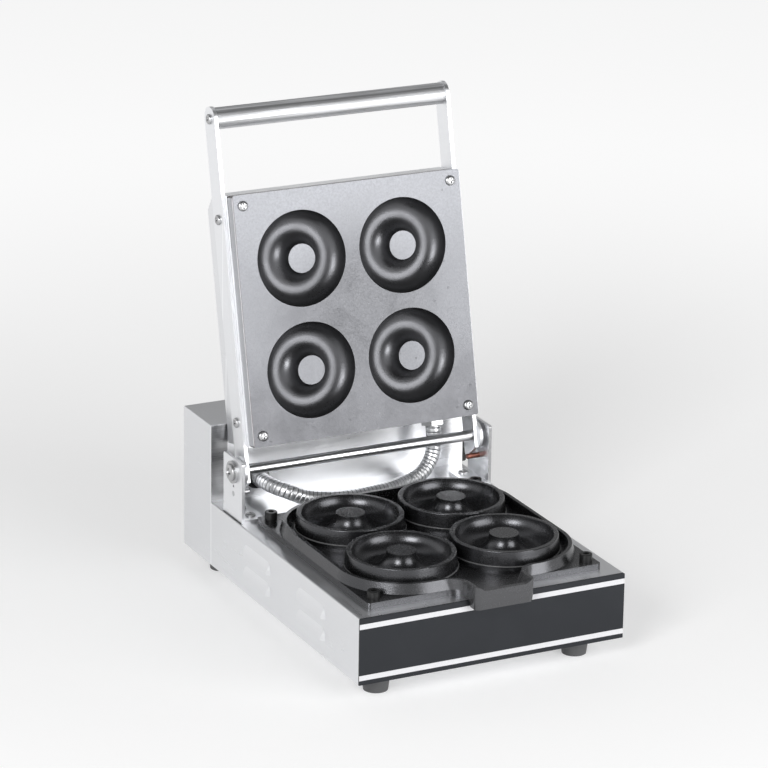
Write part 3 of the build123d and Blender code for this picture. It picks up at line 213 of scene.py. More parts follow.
bm = bmesh.new()
bmesh.ops.create_grid(bm, x_segments=1, y_segments=1, size=floor_half)
floor_mesh = bpy.data.meshes.new("floor")
bm.to_mesh(floor_mesh)
bm.free()
floor_mesh.materials.append(paper_finish())
floor = bpy.data.objects.new("floor", floor_mesh)
scene.collection.objects.link(floor)
print("floor", 2 * floor_half, "m wide")

# %% [markdown]
# ## The studio sky
#
# Steel shows whatever stands round it, so the sky is drawn as the studio. It is white at the horizon. The
# ceiling is dark in front and dim at the back, which gives steel its darker tops. A pale patch hangs
# overhead behind the press, and a white glow lies low on the left. A picture of a room could do the same,
# but a few ramps on the ray's direction are easier to move. Rays that only carry light meet an even sky.

# %% Draw the sky
fill_light = 0.34
white = grey(1.0, 1.0)
front_ceiling, rear_ceiling, pale_patch = grey(0.08, 1.01), grey(0.24, 1.01), grey(0.62, 1.01)
above_horizon, front_to_back = (0.02, 0.34), (-0.2, 0.3)
patch_up, patch_back = (0.42, 0.85), (0.0, 0.4)
glow_down, glow_left = (0.65, 0.45), (-0.3, -0.6)

sky = bpy.data.worlds.new("studio_sky")
sky.use_nodes = True
scene.world = sky
tree = sky.node_tree
tree.nodes.clear()
aim = split(tree, add(tree, "TexCoord").outputs["Generated"])
ceiling = mix_colours(tree, fade(tree, aim["Y"], *front_to_back), front_ceiling, rear_ceiling)
shown_sky = mix_colours(tree, fade(tree, aim["Z"], *above_horizon), white, ceiling)
patch = times(tree, fade(tree, aim["Z"], *patch_up), fade(tree, aim["Y"], *patch_back))
shown_sky = mix_colours(tree, patch, shown_sky, pale_patch)
glow = times(tree, fade(tree, aim["Z"], *glow_down), fade(tree, aim["X"], *glow_left))
shown_sky = mix_colours(tree, glow, shown_sky, white)
shown = add(tree, "Background", {"Color": shown_sky, "Strength": 1.0})
light = add(tree, "Background", {"Color": white, "Strength": fill_light})
either = add(tree, "MixShader", {0: seen_directly(tree), 1: light.outputs[0], 2: shown.outputs[0]})
add(tree, "OutputWorld", {"Surface": either.outputs[0]})
print("fill light", fill_light)

# %% [markdown]
# ## The lamps
#
# Two large softboxes stand to the left and right of the camera, above the press. Their mirror images are
# the paired soft spots on the posts of the ring cups. Point lamps would give hard shadows and tiny spots,
# so both are wide area lamps. The left one is a bit stronger, and the right side of the press keeps a faint
# shadow.

# %% Two softboxes
press_middle = Vector((0.0, 0.0, 0.20))


def softbox(name, place, size, power):
    """A square lamp that faces the middle of the press."""
    data = bpy.data.lights.new(name, "AREA")
    data.shape = "SQUARE"
    data.size = size
    data.energy = power
    lamp = bpy.data.objects.new(name, data)
    scene.collection.objects.link(lamp)
    turn = (press_middle - place).to_track_quat("-Z", "Y").to_matrix().to_4x4()
    lamp.matrix_world = Matrix.Translation(place) @ turn


softbox("left_softbox", Vector((-2.3, -1.9, 1.6)), size=1.3, power=60.0)
softbox("right_softbox", Vector((1.10, -2.25, 0.80)), size=1.7, power=41.0)
print("softboxes:", [lamp.name for lamp in bpy.data.lights])

# %% [markdown]
# ## Shared surface effects
#
# Three effects return on many pieces: grinding lines, a fine grain and faint smudges. Each is a node group
# that takes a position and gives masks between 0 and 1, and every finish decides for itself what those
# masks do. The nodes could be copied into each material, but then a change would have to be made many times.


# %% Start a node group
def effect(name, inputs, outputs):
    """An empty node group with its sockets, and its input and output nodes."""
    tree = bpy.data.node_groups.new(name, "ShaderNodeTree")
    for label, kind, value in inputs:
        socket = tree.interface.new_socket(label, in_out="INPUT", socket_type="NodeSocket" + kind)
        if value is not None:
            socket.default_value = value
    for label in outputs:
        tree.interface.new_socket(label, in_out="OUTPUT", socket_type="NodeSocketFloat")
    return tree, tree.nodes.new("NodeGroupInput").outputs, tree.nodes.new("NodeGroupOutput").inputs


def per_millimetre(tree, size):
    """The noise scale whose features are about this many millimetres across, on a model in metres."""
    return sums(tree, "DIVIDE", 1.0 / mm, size)


print("node groups can start")

# %% [markdown]
# ## Grinding lines
#
# Satin steel is ground on a belt, which leaves fine parallel lines. Modelled lines would need millions of
# faces, and noise that is stretched a long way in one direction looks just like them. On front and rear
# faces the lines run sideways, and on all other faces from front to back.

# %% Node group for grinding lines
position_input, normal_input = ("Position", "Vector", None), ("Normal", "Vector", None)
tree, given, gives = effect(
    "grinding_lines",
    [position_input, normal_input, ("Width", "Float", 0.5), ("Length", "Float", 60.0)],
    ["Lines"],
)
fine = per_millimetre(tree, given["Width"])
coarse = per_millimetre(tree, given["Length"])
lines = []
for scales in ((fine, coarse, fine), (coarse, fine, fine)):
    stretch = add(tree, "CombineXYZ", dict(zip("XYZ", scales)))
    place = vector_sums(tree, "MULTIPLY", given["Position"], stretch.outputs[0])
    noise = add(tree, "TexNoise", {"Vector": place, "Scale": 1.0, "Detail": 3.0, "Roughness": 0.6})
    lines.append(noise.outputs[0])
to_front = sums(tree, "ABSOLUTE", split(tree, given["Normal"])["Y"])
sideways = fade(tree, to_front, 0.4, 0.6)
picked = add(tree, "Mix", {0: sideways, 2: lines[0], 3: lines[1]}, data_type="FLOAT").outputs[0]
tree.links.new(picked, gives["Lines"])
grinding_lines = tree
print("effect:", grinding_lines.name)

# %% [markdown]
# ## Grain and smudges
#
# Cast, sprayed and moulded faces have a fine grain, and handled metal has faint smudges. Noise gives both:
# small and busy for the grain, wide and soft for the smudges. The grain also gives rounded pits, which come
# from a Voronoi texture, because noise alone looks too rough for the skin of sprayed paint.

# %% Node groups for grain and smudges
tree, given, gives = effect("fine_grain", [position_input, ("Size", "Float", 1.0)], ["Grain", "Pits"])
scale = per_millimetre(tree, given["Size"])
sockets = {"Vector": given["Position"], "Scale": scale, "Detail": 4.0, "Roughness": 0.62}
tree.links.new(add(tree, "TexNoise", sockets).outputs[0], gives["Grain"])
cells = add(tree, "TexVoronoi", {"Vector": given["Position"], "Scale": scale}, feature="SMOOTH_F1")
tree.links.new(ramp(tree, cells.outputs["Distance"], 0.0, 0.55, 1.0, 0.0), gives["Pits"])
fine_grain = tree

tree, given, gives = effect("smudges", [position_input, ("Size", "Float", 50.0)], ["Smudge"])
scale = per_millimetre(tree, given["Size"])
sockets = {"Vector": given["Position"], "Scale": scale, "Detail": 5.0, "Roughness": 0.55, "Distortion": 0.6}
noise = add(tree, "TexNoise", sockets)
tree.links.new(fade(tree, noise.outputs[0], 0.35, 0.70), gives["Smudge"])
smudges = tree
print("effects:", [group.name for group in bpy.data.node_groups])

# %% [markdown]
# ## How a finish is put together
#
# Each finish is one material with a Principled shader. The shader's plain numbers, such as metallic or
# coat, are set on its own sockets, and only what changes over the surface is wired: colour, roughness and
# bump. Positions are the object's own coordinates, which lie in the same frame as the CAD model.

# %% Start a finish and place effects in it
finishes = {}
noise_span = (0.3, 0.7)


def new_finish(slot, **sockets):
    """A material for one slot of the record, with its Principled shader and position."""
    finish = bpy.data.materials.new(slot)
    finish.use_nodes = True
    finishes[slot] = finish
    tree = finish.node_tree
    shader = tree.nodes["Principled BSDF"]
    for label, value in sockets.items():
        shader.inputs[label.replace("_", " ")].default_value = value
    return tree, shader, add(tree, "TexCoord").outputs["Object"]


def place_effect(tree, group, **sockets):
    """One use of a shared effect, with its own values."""
    return add(tree, "Group", sockets, node_tree=group).outputs


def wire(tree, shader, colour, roughness, height=None, strength=0.2, depth=0.2):
    """Feeds what changes over the surface to the shader. Depth is the bump's height in millimetres."""
    tree.links.new(colour, shader.inputs["Base Color"])
    tree.links.new(roughness, shader.inputs["Roughness"])
    if height is not None:
        bump = add(tree, "Bump", {"Height": height, "Strength": strength, "Distance": depth * mm})
        tree.links.new(bump.outputs[0], shader.inputs["Normal"])


print("finish helpers ready")

# %% [markdown]
# ## Satin steel: cabinet, arms and brackets
#
# The cabinet is stainless sheet with a satin grind, pale and slightly streaked. Its reflections smear across
# the grinding lines, which is what the anisotropic value does. Arms and brackets are bars of the same steel,
# rougher and without that smear. Faces towards the front get a painted highlight: their colour is mixed
# towards white. Two places are painted darker: the front edge of the right bracket, and the strip of the rear
# box beside the left arm, which is painted shade of the bracket and the arm. A thin pale line where the base
# meets the rear box is a painted highlight on that edge. A painted texture could hold all this. Masks on
# position and direction are sharper, and the line's place is read from the CAD model.

# %% Satin steel
rear_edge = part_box("rear_box")[0][1]
seam_highlight_width = 1.2 * mm
darker_strip_fade_aside, darker_strip_fade_behind = 1.5 * mm, 5.0 * mm
# Ranges and colours of the painted highlight on front faces, the painted seam highlight and the painted darker
# strips.
front_highlight_turn, side_turn = (-0.6, -0.95), (0.8, 0.9)
front_highlight_gain = 0.6
front_highlight_colour, seam_highlight_colour = grey(0.97), grey(0.98)
darker_strip_dark, darker_strip_pale = grey(0.24), grey(0.48)


def satin_steel(slot, level, roughness, spread, darker_strip_side, darker_strip_aside, darker_strip_behind):
    """Ground stainless steel, with a painted highlight on its front faces, a painted seam highlight, and a painted
    darker strip.
    """
    tree, shader, position = new_finish(slot, Metallic=1.0, IOR=1.5, Anisotropic=spread)
    across = add(tree, "CombineXYZ", {"X": 0.0, "Y": 0.25, "Z": 1.0})
    tree.links.new(across.outputs[0], shader.inputs["Tangent"])
    normal = add(tree, "TexCoord").outputs["Normal"]
    sockets = {"Position": position, "Normal": normal, "Width": 0.8, "Length": 70.0}
    lines = place_effect(tree, grinding_lines, **sockets)["Lines"]
    smudge = place_effect(tree, smudges, Position=position, Size=60.0)["Smudge"]
    facing, place = split(tree, normal), split(tree, position)

    # Faces towards the front: painted highlight, colour mixed towards white.
    front = fade(tree, facing["Y"], *front_highlight_turn)
    colour = mix_colours(tree, lines, grey(level * 0.97), grey(level * 1.02))
    colour = mix_colours(tree, times(tree, front, front_highlight_gain), colour, front_highlight_colour)

    # Darker strip: painted shade on the rear box beside the left arm, and a darker front edge on the right
    # bracket.
    outward = times(tree, place["X"], darker_strip_side)
    aside = fade(tree, outward, darker_strip_aside, darker_strip_aside + darker_strip_fade_aside)
    behind = fade(tree, place["Y"], darker_strip_behind, darker_strip_behind + darker_strip_fade_behind)
    darker_strip_colour = mix_colours(tree, lines, darker_strip_dark, darker_strip_pale)
    colour = mix_colours(tree, times(tree, front, aside, behind), colour, darker_strip_colour)

    # A pale line on the side at the rear box's edge: painted highlight.
    to_side = fade(tree, sums(tree, "ABSOLUTE", facing["X"]), *side_turn)
    seam_highlight = times(tree, to_side, between(tree, place["Y"], rear_edge, rear_edge + seam_highlight_width))
    colour = mix_colours(tree, seam_highlight, colour, seam_highlight_colour)

    rough = ramp(tree, lines, *noise_span, roughness - 0.02, roughness + 0.02)
    rough = sums(tree, "ADD", rough, fade(tree, smudge, 0.0, 1.0, 0.05))
    wire(tree, shader, colour, rough, lines, strength=0.02, depth=0.01)


left, right = -1, 1
# The sheet's darker strip is painted shade beside the left arm; the bar's is the right bracket's darker front
# edge.
sheet_painted_shade = {"darker_strip_side": left, "darker_strip_aside": 113 * mm, "darker_strip_behind": 110 * mm}
bar_darker_edge = {"darker_strip_side": right, "darker_strip_aside": 121 * mm, "darker_strip_behind": 50 * mm}
satin_steel("stainless_sheet", level=0.80, roughness=0.29, spread=0.75, **sheet_painted_shade)
satin_steel("satin_bar", level=0.86, roughness=0.36, spread=0.0, **bar_darker_edge)
print("satin steel:", sorted(finishes))

# %% [markdown]
# ## Plated and polished metal
#
# Screws are plated and small, with a little grime, and the spacer discs at the hinge are paler and duller
# than the bolts through them. The handle and the hinge rod are polished along their length, so they mirror
# the dark plate as a band, and the rod low down is glossier than the handle. Rod and handle share one
# finish of the record, so height tells them apart, and the discs are told apart by their place.

# %% Plated and polished metal
disc_aside, disc_along = (118.2 * mm, 121.6 * mm), (60 * mm, 100 * mm)
disc_height = (112 * mm, 140 * mm)
disc_colour, disc_dulling = grey(0.95), 0.2
rod_height, rod_gloss = (140 * mm, 150 * mm), 0.16
streak_dark, streak_pale = grey(0.44), grey(0.78)


def plated_metal(slot, level, roughness, tint=1.02):
    """Plated metal with faint smudges, and pale where it is a spacer disc."""
    tree, shader, position = new_finish(slot, Metallic=1.0, IOR=1.5)
    smudge = place_effect(tree, smudges, Position=position, Size=14.0)["Smudge"]
    grain = place_effect(tree, fine_grain, Position=position, Size=0.6)["Grain"]
    place = split(tree, position)
    disc = times(
        tree,
        between(tree, sums(tree, "ABSOLUTE", place["X"]), *disc_aside),
        between(tree, place["Y"], *disc_along),
        between(tree, place["Z"], *disc_height),
    )
    colour = mix_colours(tree, smudge, grey(level, tint), grey(level * 0.9, tint))
    colour = mix_colours(tree, disc, colour, disc_colour)
    rough = ramp(tree, smudge, 0.0, 1.0, roughness, roughness + 0.07)
    rough = sums(tree, "ADD", rough, times(tree, disc, disc_dulling))
    wire(tree, shader, colour, rough, grain, strength=0.08, depth=0.02)


plated_metal("plated_fastener", level=0.50, roughness=0.30)
plated_metal("heater_sheath", level=0.24, roughness=0.45, tint=0.96)

tree, shader, position = new_finish("polished_bar", Metallic=1.0, IOR=1.5)
sockets = {"Position": position, "Normal": (0.0, 1.0, 0.0), "Width": 2.2, "Length": 160.0}
lines = place_effect(tree, grinding_lines, **sockets)["Lines"]
colour = mix_colours(tree, fade(tree, lines, 0.40, 0.60), streak_dark, streak_pale)
rod = ramp(tree, split(tree, position)["Z"], *rod_height, 1.0, 0.0)
rough = sums(tree, "SUBTRACT", ramp(tree, lines, *noise_span, 0.52, 0.40), times(tree, rod, rod_gloss))
wire(tree, shader, colour, rough, lines, strength=0.1, depth=0.02)
print("metal finishes:", sorted(finishes))

# %% [markdown]
# ## The lower casting
#
# Both plates are cast aluminium with a black non-stick coat, which has the fine orange-peel skin of sprayed
# paint. The skin is a bump of rounded pits, because real dents of that size would need far too many faces.
# Scrapers and cloths have worn the coat a little paler on the rims of the cups. Towards the front, along the pour
# spout, the coat is painted paler as sheen. Two ramps show that, one on the height and one towards the front.

# %% Finish of the lower casting
rim_wear, worn_rim = (103.9 * mm, 104.4 * mm), grey(0.028)
spout_sheen_span, painted_spout_sheen = (-152 * mm, -180 * mm), grey(0.045)


def coated_casting(slot, coat, roughness, index):
    """A black sprayed coat on a casting, with what its wear is added to."""
    tint = (0.93, 0.94, 1.0, 1.0)
    tree, shader, position = new_finish(slot, Metallic=0.0, IOR=index, Specular_Tint=tint)
    skin = place_effect(tree, fine_grain, Position=position, Size=1.0)
    smudge = place_effect(tree, smudges, Position=position, Size=35.0)["Smudge"]
    colour = mix_colours(tree, skin["Grain"], grey(coat * 0.7), grey(coat * 1.35))
    rough = ramp(tree, skin["Grain"], *noise_span, roughness - 0.04, roughness + 0.05)
    rough = sums(tree, "ADD", rough, fade(tree, smudge, 0.0, 1.0, 0.06))
    return tree, shader, position, skin["Pits"], smudge, colour, rough


tree, shader, position, pits, _, colour, rough = coated_casting(
    "dark_casting", coat=0.004, roughness=0.23, index=1.75
)
place = split(tree, position)
# Towards the front, along the spout: painted sheen.
colour = mix_colours(tree, fade(tree, place["Y"], *spout_sheen_span), colour, painted_spout_sheen)
colour = mix_colours(tree, fade(tree, place["Z"], *rim_wear), colour, worn_rim)
wire(tree, shader, colour, rough, pits, strength=0.22, depth=0.14)
print("rims worn from", round(rim_wear[0] / mm, 1), "mm up")

# %% [markdown]
# ## Where the upper plate gets its painted sheen
#
# The upper plate has the same coat. Its flat face gets a painted sheen: it is painted paler towards the edges,
# towards the top, and on the tops of its four posts, and its ring hollows stay black. A mask could be painted by
# hand,
# but every zone follows from a distance: the depth below the face and the height along the leaning lid, both
# measured from the hinge, and the distances from the face's middle and from the nearest post.

# %% Zones of the upper plate
lid_hinge = next(joint for joint in frame["joints"] if joint["name"] == "lid_hinge")
hinge_place = Vector(lid_hinge["pos_m"])
lid_lean = radians(12.6)
lid_along = Vector((0.0, sin(lid_lean), cos(lid_lean)))
lid_outward = Vector((0.0, -cos(lid_lean), sin(lid_lean)))
face_depth, face_rise = 21.2 * mm, 136.0 * mm
face_middle = lid_along * face_rise + lid_outward * face_depth
ring_pitch = 102.0 * mm
post_edge = (13.4 * mm, 14.4 * mm)
edge_sheen, rise_sheen, top_sheen = (30 * mm, 115 * mm), (30 * mm, 130 * mm), (150 * mm, 250 * mm)

tree, shader, position, pits, smudge, colour, rough = coated_casting(
    "grey_casting", coat=0.008, roughness=0.34, index=1.95
)
from_hinge = vector_sums(tree, "SUBTRACT", position, hinge_place)
depth = vector_sums(tree, "DOT_PRODUCT", from_hinge, lid_outward)
flat_face = fade(tree, depth, face_depth - 0.5 * mm, face_depth - 0.15 * mm)
up = vector_sums(tree, "DOT_PRODUCT", from_hinge, lid_along)
from_middle = vector_sums(tree, "DISTANCE", from_hinge, face_middle)
# Painted sheen on the face: paler towards the edges and the top of the lid, varied by smudges.
face_sheen = times(tree, fade(tree, from_middle, *edge_sheen, 0.5), ramp(tree, up, *rise_sheen, 0.1, 1.0))
face_sheen = sums(tree, "ADD", face_sheen, fade(tree, up, *top_sheen, 0.4))
face_sheen = times(tree, face_sheen, ramp(tree, smudge, 0.0, 1.0, 0.85, 1.1))

side = split(tree, position)["X"]
across = sums(tree, "ABSOLUTE", side)
off_middle = sums(tree, "ABSOLUTE", sums(tree, "SUBTRACT", up, face_rise))
post_aside = sums(tree, "SUBTRACT", across, ring_pitch / 2)
post_up = sums(tree, "SUBTRACT", off_middle, ring_pitch / 2)
from_post = add(tree, "CombineXYZ", {"X": post_aside, "Y": post_up, "Z": 0.0}).outputs[0]
# Painted sheen on the tops of the four posts.
post_top_sheen = ramp(tree, vector_sums(tree, "LENGTH", from_post), *post_edge, 0.3, 0.0)
face_sheen = sums(tree, "ADD", face_sheen, post_top_sheen)
print("upper plate's middle, mm:", [round(value / mm, 1) for value in hinge_place + face_middle])

# %% [markdown]
# ## The upper plate's finish
#
# The flat face carries a painted sheen, grey and mottled, with small dark nicks that are also dents. The hollows
# are black and a little glossier. A dark brownish line along the left edge is painted shade, and the plate's sides
# are bare metal, since the coat was sprayed from the front. All that is one material: a second one would need a
# cut in the CAD mesh.

# %% Finish of the upper plate
face_black, face_sheen_grey, spot_black = grey(0.015, 1.1), grey(0.38, 1.1), grey(0.01)
nick_spacing, nick_edge = 17.0 * mm, (0.04, 0.10)
nick_shade, nick_dent = 0.7, 3.0
left_edge_shade, bare_edge = (-112.9 * mm, -113.5 * mm), (114.1 * mm, 114.4 * mm)
edge_shade_colour, bare_colour = (0.05, 0.035, 0.03, 1.0), grey(0.42)
bare_metallic = 0.8

mottle = place_effect(tree, fine_grain, Position=position, Size=2.2)["Grain"]
spots = add(tree, "TexVoronoi", {"Vector": position, "Scale": 1.0 / nick_spacing}, feature="F1")
nicks = times(tree, ramp(tree, spots.outputs["Distance"], *nick_edge, 1.0, 0.0), flat_face)
# The flat face's colour runs from black to the grey of its painted sheen.
face_colour = mix_colours(tree, face_sheen, face_black, face_sheen_grey)
face_colour = mix_colours(tree, ramp(tree, mottle, *noise_span, 0.4, 0.0), face_colour, spot_black)
face_colour = mix_colours(tree, times(tree, nicks, nick_shade), face_colour, spot_black)
colour = mix_colours(tree, flat_face, colour, face_colour)
# A dark brownish line along the left edge: painted shade.
colour = mix_colours(tree, fade(tree, side, *left_edge_shade, 0.75), colour, edge_shade_colour)
bare_side = fade(tree, across, *bare_edge)
colour = mix_colours(tree, bare_side, colour, bare_colour)
tree.links.new(times(tree, bare_side, bare_metallic), shader.inputs["Metallic"])

uneven = times(tree, ramp(tree, mottle, *noise_span, -0.04, 0.04), flat_face)
rough = sums(tree, "SUBTRACT", rough, ramp(tree, flat_face, 0.0, 1.0, 0.04, 0.0))
rough = sums(tree, "ADD", rough, uneven)
relief = sums(tree, "SUBTRACT", pits, times(tree, nicks, nick_dent))
wire(tree, shader, colour, rough, relief, strength=0.22, depth=0.16)
print("castings:", [slot for slot in finishes if "casting" in slot])

# %% [markdown]
# ## Plastics, rubber and the rest
#
# The front panel is a satin black sheet, the feet are rubber, and the knobs and the rocker are glossy
# mouldings. Inside lie wool, terminals and the control works, which show only from below or in an opened
# lid. They differ in colour, gloss and the size of their grain, so one function makes them all.


# %% Moulded and soft finishes
def moulded(slot, colour, roughness, grain_size=0.8, strength=0.1, **sockets):
    """A moulded, painted or rubber face with a fine grain."""
    tree, shader, position = new_finish(slot, IOR=1.5, **sockets)
    skin = place_effect(tree, fine_grain, Position=position, Size=grain_size)
    smudge = place_effect(tree, smudges, Position=position, Size=40.0)["Smudge"]
    darker = tuple(part * 0.8 for part in colour[:3]) + (1.0,)
    lighter = tuple(part * 1.2 for part in colour[:3]) + (1.0,)
    shade = mix_colours(tree, skin["Grain"], darker, lighter)
    rough = ramp(tree, skin["Grain"], *noise_span, roughness - 0.03, roughness + 0.03)
    rough = sums(tree, "ADD", rough, fade(tree, smudge, 0.0, 1.0, 0.08))
    wire(tree, shader, shade, rough, skin["Pits"], strength, depth=0.05)


moulded("black_panel", grey(0.006, 1.35), 0.35, 0.7, Specular_Tint=(0.88, 0.92, 1.0, 1.0))
moulded("black_bolt", grey(0.016), 0.34, 0.5, Metallic=0.4)
moulded("foot_rubber", grey(0.10), 0.62, 0.8, 0.3)
moulded("black_rubber", grey(0.015), 0.60, 0.8, 0.3)
moulded("black_fitting", grey(0.018), 0.42, 0.8)
moulded("ceramic_wool", (0.78, 0.76, 0.70, 1.0), 0.95, 2.5, 0.8)
moulded("control_works", (0.50, 0.46, 0.38, 1.0), 0.55, 1.0)
moulded("knob_plastic", grey(0.014), 0.20, 0.7, 0.05, Coat_Weight=0.2)
moulded("switch_plastic", grey(0.016), 0.45, 0.7)
moulded("rocker_plastic", grey(0.018), 0.25, 0.7, 0.05)
moulded("lamp_lens", (0.75, 0.20, 0.03, 1.0), 0.12, 2.0, 0.05, Transmission_Weight=0.5)
moulded("terminal_plastic", (0.78, 0.76, 0.70, 1.0), 0.45, 0.8)
moulded("stripe_white", (0.72, 0.72, 0.74, 1.0), 0.40, 0.6, 0.05)
moulded("print_black", grey(0.02), 0.55, 0.4, 0.05)
# Pale colour for the cup beads: a painted highlight.
moulded("bead_highlight", grey(0.10), 0.25, 0.6, 0.05)
print("finishes so far:", len(finishes))

# %% [markdown]
# ## Stop pins and the conduit's metal
#
# The right stop pin has a red-brown sleeve, and its end and the left pin are plain steel. The conduit is
# bright metal, and its grooves are painted dark as shade. Noise can't know where the grooves are, so the conduit's
# mesh will carry their depth as an attribute, and the finish reads it.

# %% Finishes of the pins and the conduit
sleeve_end, sleeve_fade = 124.2 * mm, 0.4 * mm
sleeve_colour = (0.22, 0.075, 0.05, 1.0)

tree, shader, position = new_finish("copper_pin", Metallic=0.9, IOR=1.5)
sleeve = between(tree, split(tree, position)["X"], 0.0, sleeve_end, sleeve_fade)
skin = place_effect(tree, fine_grain, Position=position, Size=0.6)
shade = mix_colours(tree, sleeve, grey(0.62), sleeve_colour)
shade = mix_colours(tree, fade(tree, skin["Grain"], *noise_span, 0.3), shade, grey(0.12))
rough = ramp(tree, skin["Grain"], *noise_span, 0.30, 0.42)
wire(tree, shader, shade, rough, skin["Pits"], strength=0.1, depth=0.05)

tree, shader, position = new_finish("conduit_metal", Metallic=1.0, IOR=1.5)
groove_shade = add(tree, "Attribute", attribute_name="groove_shade").outputs["Fac"]
grime = place_effect(tree, smudges, Position=position, Size=8.0)["Smudge"]
# Grooves are painted dark as shade.
shade = mix_colours(tree, groove_shade, grey(0.85), grey(0.08))
shade = mix_colours(tree, fade(tree, grime, 0.0, 1.0, 0.4), shade, grey(0.42))
wire(tree, shader, shade, ramp(tree, grime, 0.0, 1.0, 0.35, 0.45))
print("sleeve ends at", round(sleeve_end / mm, 1), "mm, finishes:", len(finishes))

# %% [markdown]
# ## Finishes for the CAD pieces
#
# The record of the part names a finish for each CAD node. A slot can belong to the mesh or to the object. It
# is linked to the object here, so that the meshes of the frame stay as they came.

# %% Hand out the finishes
for part in frame["record"]["subparts"]:
    for slot in nodes[part["node"]].material_slots:
        slot.link = "OBJECT"
        slot.material = finishes[part["material_slot"]]

# %% [markdown]
# ## The ribbed conduit
#
# A flexible metal conduit takes the wires from the rear box to the lid. It is wound from a strip, so its
# ribs form one long screw. A curve with a bevel would give a smooth tube, so the curve only gives the route:
# a NURBS spline, whose points are read back as a mesh.

# %% Route of the conduit
conduit_route = [
    (-84.0, 110.3, 101.0),
    (-84.0, 93.4, 101.0),
    (-71.8, 78.7, 98.5),
    (-57.5, 78.2, 90.3),
    (-40.8, 72.6, 89.0),
    (-24.0, 64.7, 88.4),
    (6.4, 67.6, 88.8),
    (24.2, 69.5, 88.7),
    (43.1, 79.3, 88.6),
    (65.7, 86.9, 88.4),
    (86.2, 95.4, 104.7),
    (84.0, 95.4, 126.3),
    (84.0, 97.21, 134.24),
]
conduit_turns = 56
steps_per_turn = 14


def read_mesh(data):
    """The mesh of a curve or a text, which is removed."""
    holder = bpy.data.objects.new(data.name, data)
    scene.collection.objects.link(holder)
    bpy.context.view_layer.update()
    graph = bpy.context.evaluated_depsgraph_get()
    mesh = bpy.data.meshes.new_from_object(holder.evaluated_get(graph))
    bpy.data.objects.remove(holder)
    bpy.data.curves.remove(data)
    return mesh


def spline_points(name, route, count):
    """Points along a smooth NURBS line that follows the route."""
    data = bpy.data.curves.new(name, "CURVE")
    data.dimensions = "3D"
    spline = data.splines.new("NURBS")
    spline.points.add(len(route) - 1)
    for point, place in zip(spline.points, route):
        point.co = (*(Vector(place) * mm), 1.0)
    spline.order_u = 4
    spline.use_endpoint_u = True
    spline.resolution_u = round(count / (len(route) - 1))
    line = read_mesh(data)
    points = [vertex.co.copy() for vertex in line.vertices]
    bpy.data.meshes.remove(line)
    return points


conduit_path = spline_points("conduit_line", conduit_route, conduit_turns * steps_per_turn)
steps = [(b - a).length for a, b in zip(conduit_path, conduit_path[1:])]
conduit_length = sum(steps)
print("conduit points:", len(conduit_path), "length, mm:", round(conduit_length / mm, 1))

# %% [markdown]
# ## The conduit's rings
#
# One ring of vertices is extruded from point to point while its radius follows the winding, so the ribs
# climb round the tube as a screw thread does. A stack of separate rings would be simpler, but its ribs would
# close on themselves. Each ring is turned from the last one by the smallest angle, so the tube doesn't twist.

# %% Extrude the rings
conduit_radius, groove_depth = 7.0 * mm, 0.65 * mm
ring_corners = 28
groove_sharpness = 8


def groove_at(turns):
    """How deep the winding is at a place along it: flat strips with narrow rounded grooves between."""
    return max(0.0, cos(2 * pi * turns)) ** groove_sharpness


def grown_from(old, fresh):
    """The new vertex that was extruded from an old one."""
    return next(edge.other_vert(old) for edge in old.link_edges if edge.other_vert(old) in fresh)


bm = bmesh.new()
groove_shade_layer = bm.verts.layers.float.new("groove_shade")
ring = bmesh.ops.create_circle(bm, segments=ring_corners, radius=conduit_radius)["verts"]
ring_edges = bm.edges[:]
turns_per_metre = conduit_turns / conduit_length
travelled = 0.0
facing = (conduit_path[1] - conduit_path[0]).to_track_quat("Z", "Y")
for index, place in enumerate(conduit_path):
    if index:
        travelled += steps[index - 1]
        after = conduit_path[min(index + 1, len(conduit_path) - 1)]
        direction = after - conduit_path[index - 1]
        facing = (facing @ Vector((0, 0, 1))).rotation_difference(direction) @ facing
        grown = bmesh.ops.extrude_edge_only(bm, edges=ring_edges)["geom"]
        fresh = {part for part in grown if isinstance(part, bmesh.types.BMVert)}
        grown_edges = [part for part in grown if isinstance(part, bmesh.types.BMEdge)]
        ring_edges = [edge for edge in grown_edges if fresh.issuperset(edge.verts)]
        ring = [grown_from(old, fresh) for old in ring]
    for corner, vertex in enumerate(ring):
        share = corner / ring_corners
        deep = groove_at(travelled * turns_per_metre + share)
        spoke = Vector((conduit_radius - groove_depth * deep, 0, 0))
        vertex.co = place + facing @ (Matrix.Rotation(2 * pi * share, 3, "Z") @ spoke)
        # The groove's depth is stored as the mask of the grooves' painted shade.
        vertex[groove_shade_layer] = deep
bmesh.ops.holes_fill(bm, edges=[edge for edge in bm.edges if edge.is_boundary])
bmesh.ops.recalc_face_normals(bm, faces=bm.faces[:])
print("conduit rings:", len(conduit_path))

# %% [markdown]
# ## From a bmesh to a piece
#
# Every new piece keeps its place in its mesh, and its object stays at the origin, as the CAD nodes do. So
# patterns on object coordinates fit from piece to piece. The conduit replaces the CAD hose.


def make_piece(bm, name, finish, smooth_angle=None):
    """Turns a bmesh into a named object with a finish."""
    mesh = bpy.data.meshes.new(name)
    bm.to_mesh(mesh)
    bm.free()
    mesh.materials.append(finishes[finish])
    piece = bpy.data.objects.new(name, mesh)
    scene.collection.objects.link(piece)
    if smooth_angle:
        mesh.shade_smooth()
        mesh.set_sharp_from_angle(angle=radians(smooth_angle))
    return piece


conduit = make_piece(bm, "conduit_hose", "conduit_metal", smooth_angle=60)
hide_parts("flex_conduit")
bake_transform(conduit)
print("conduit faces:", len(conduit.data.polygons))

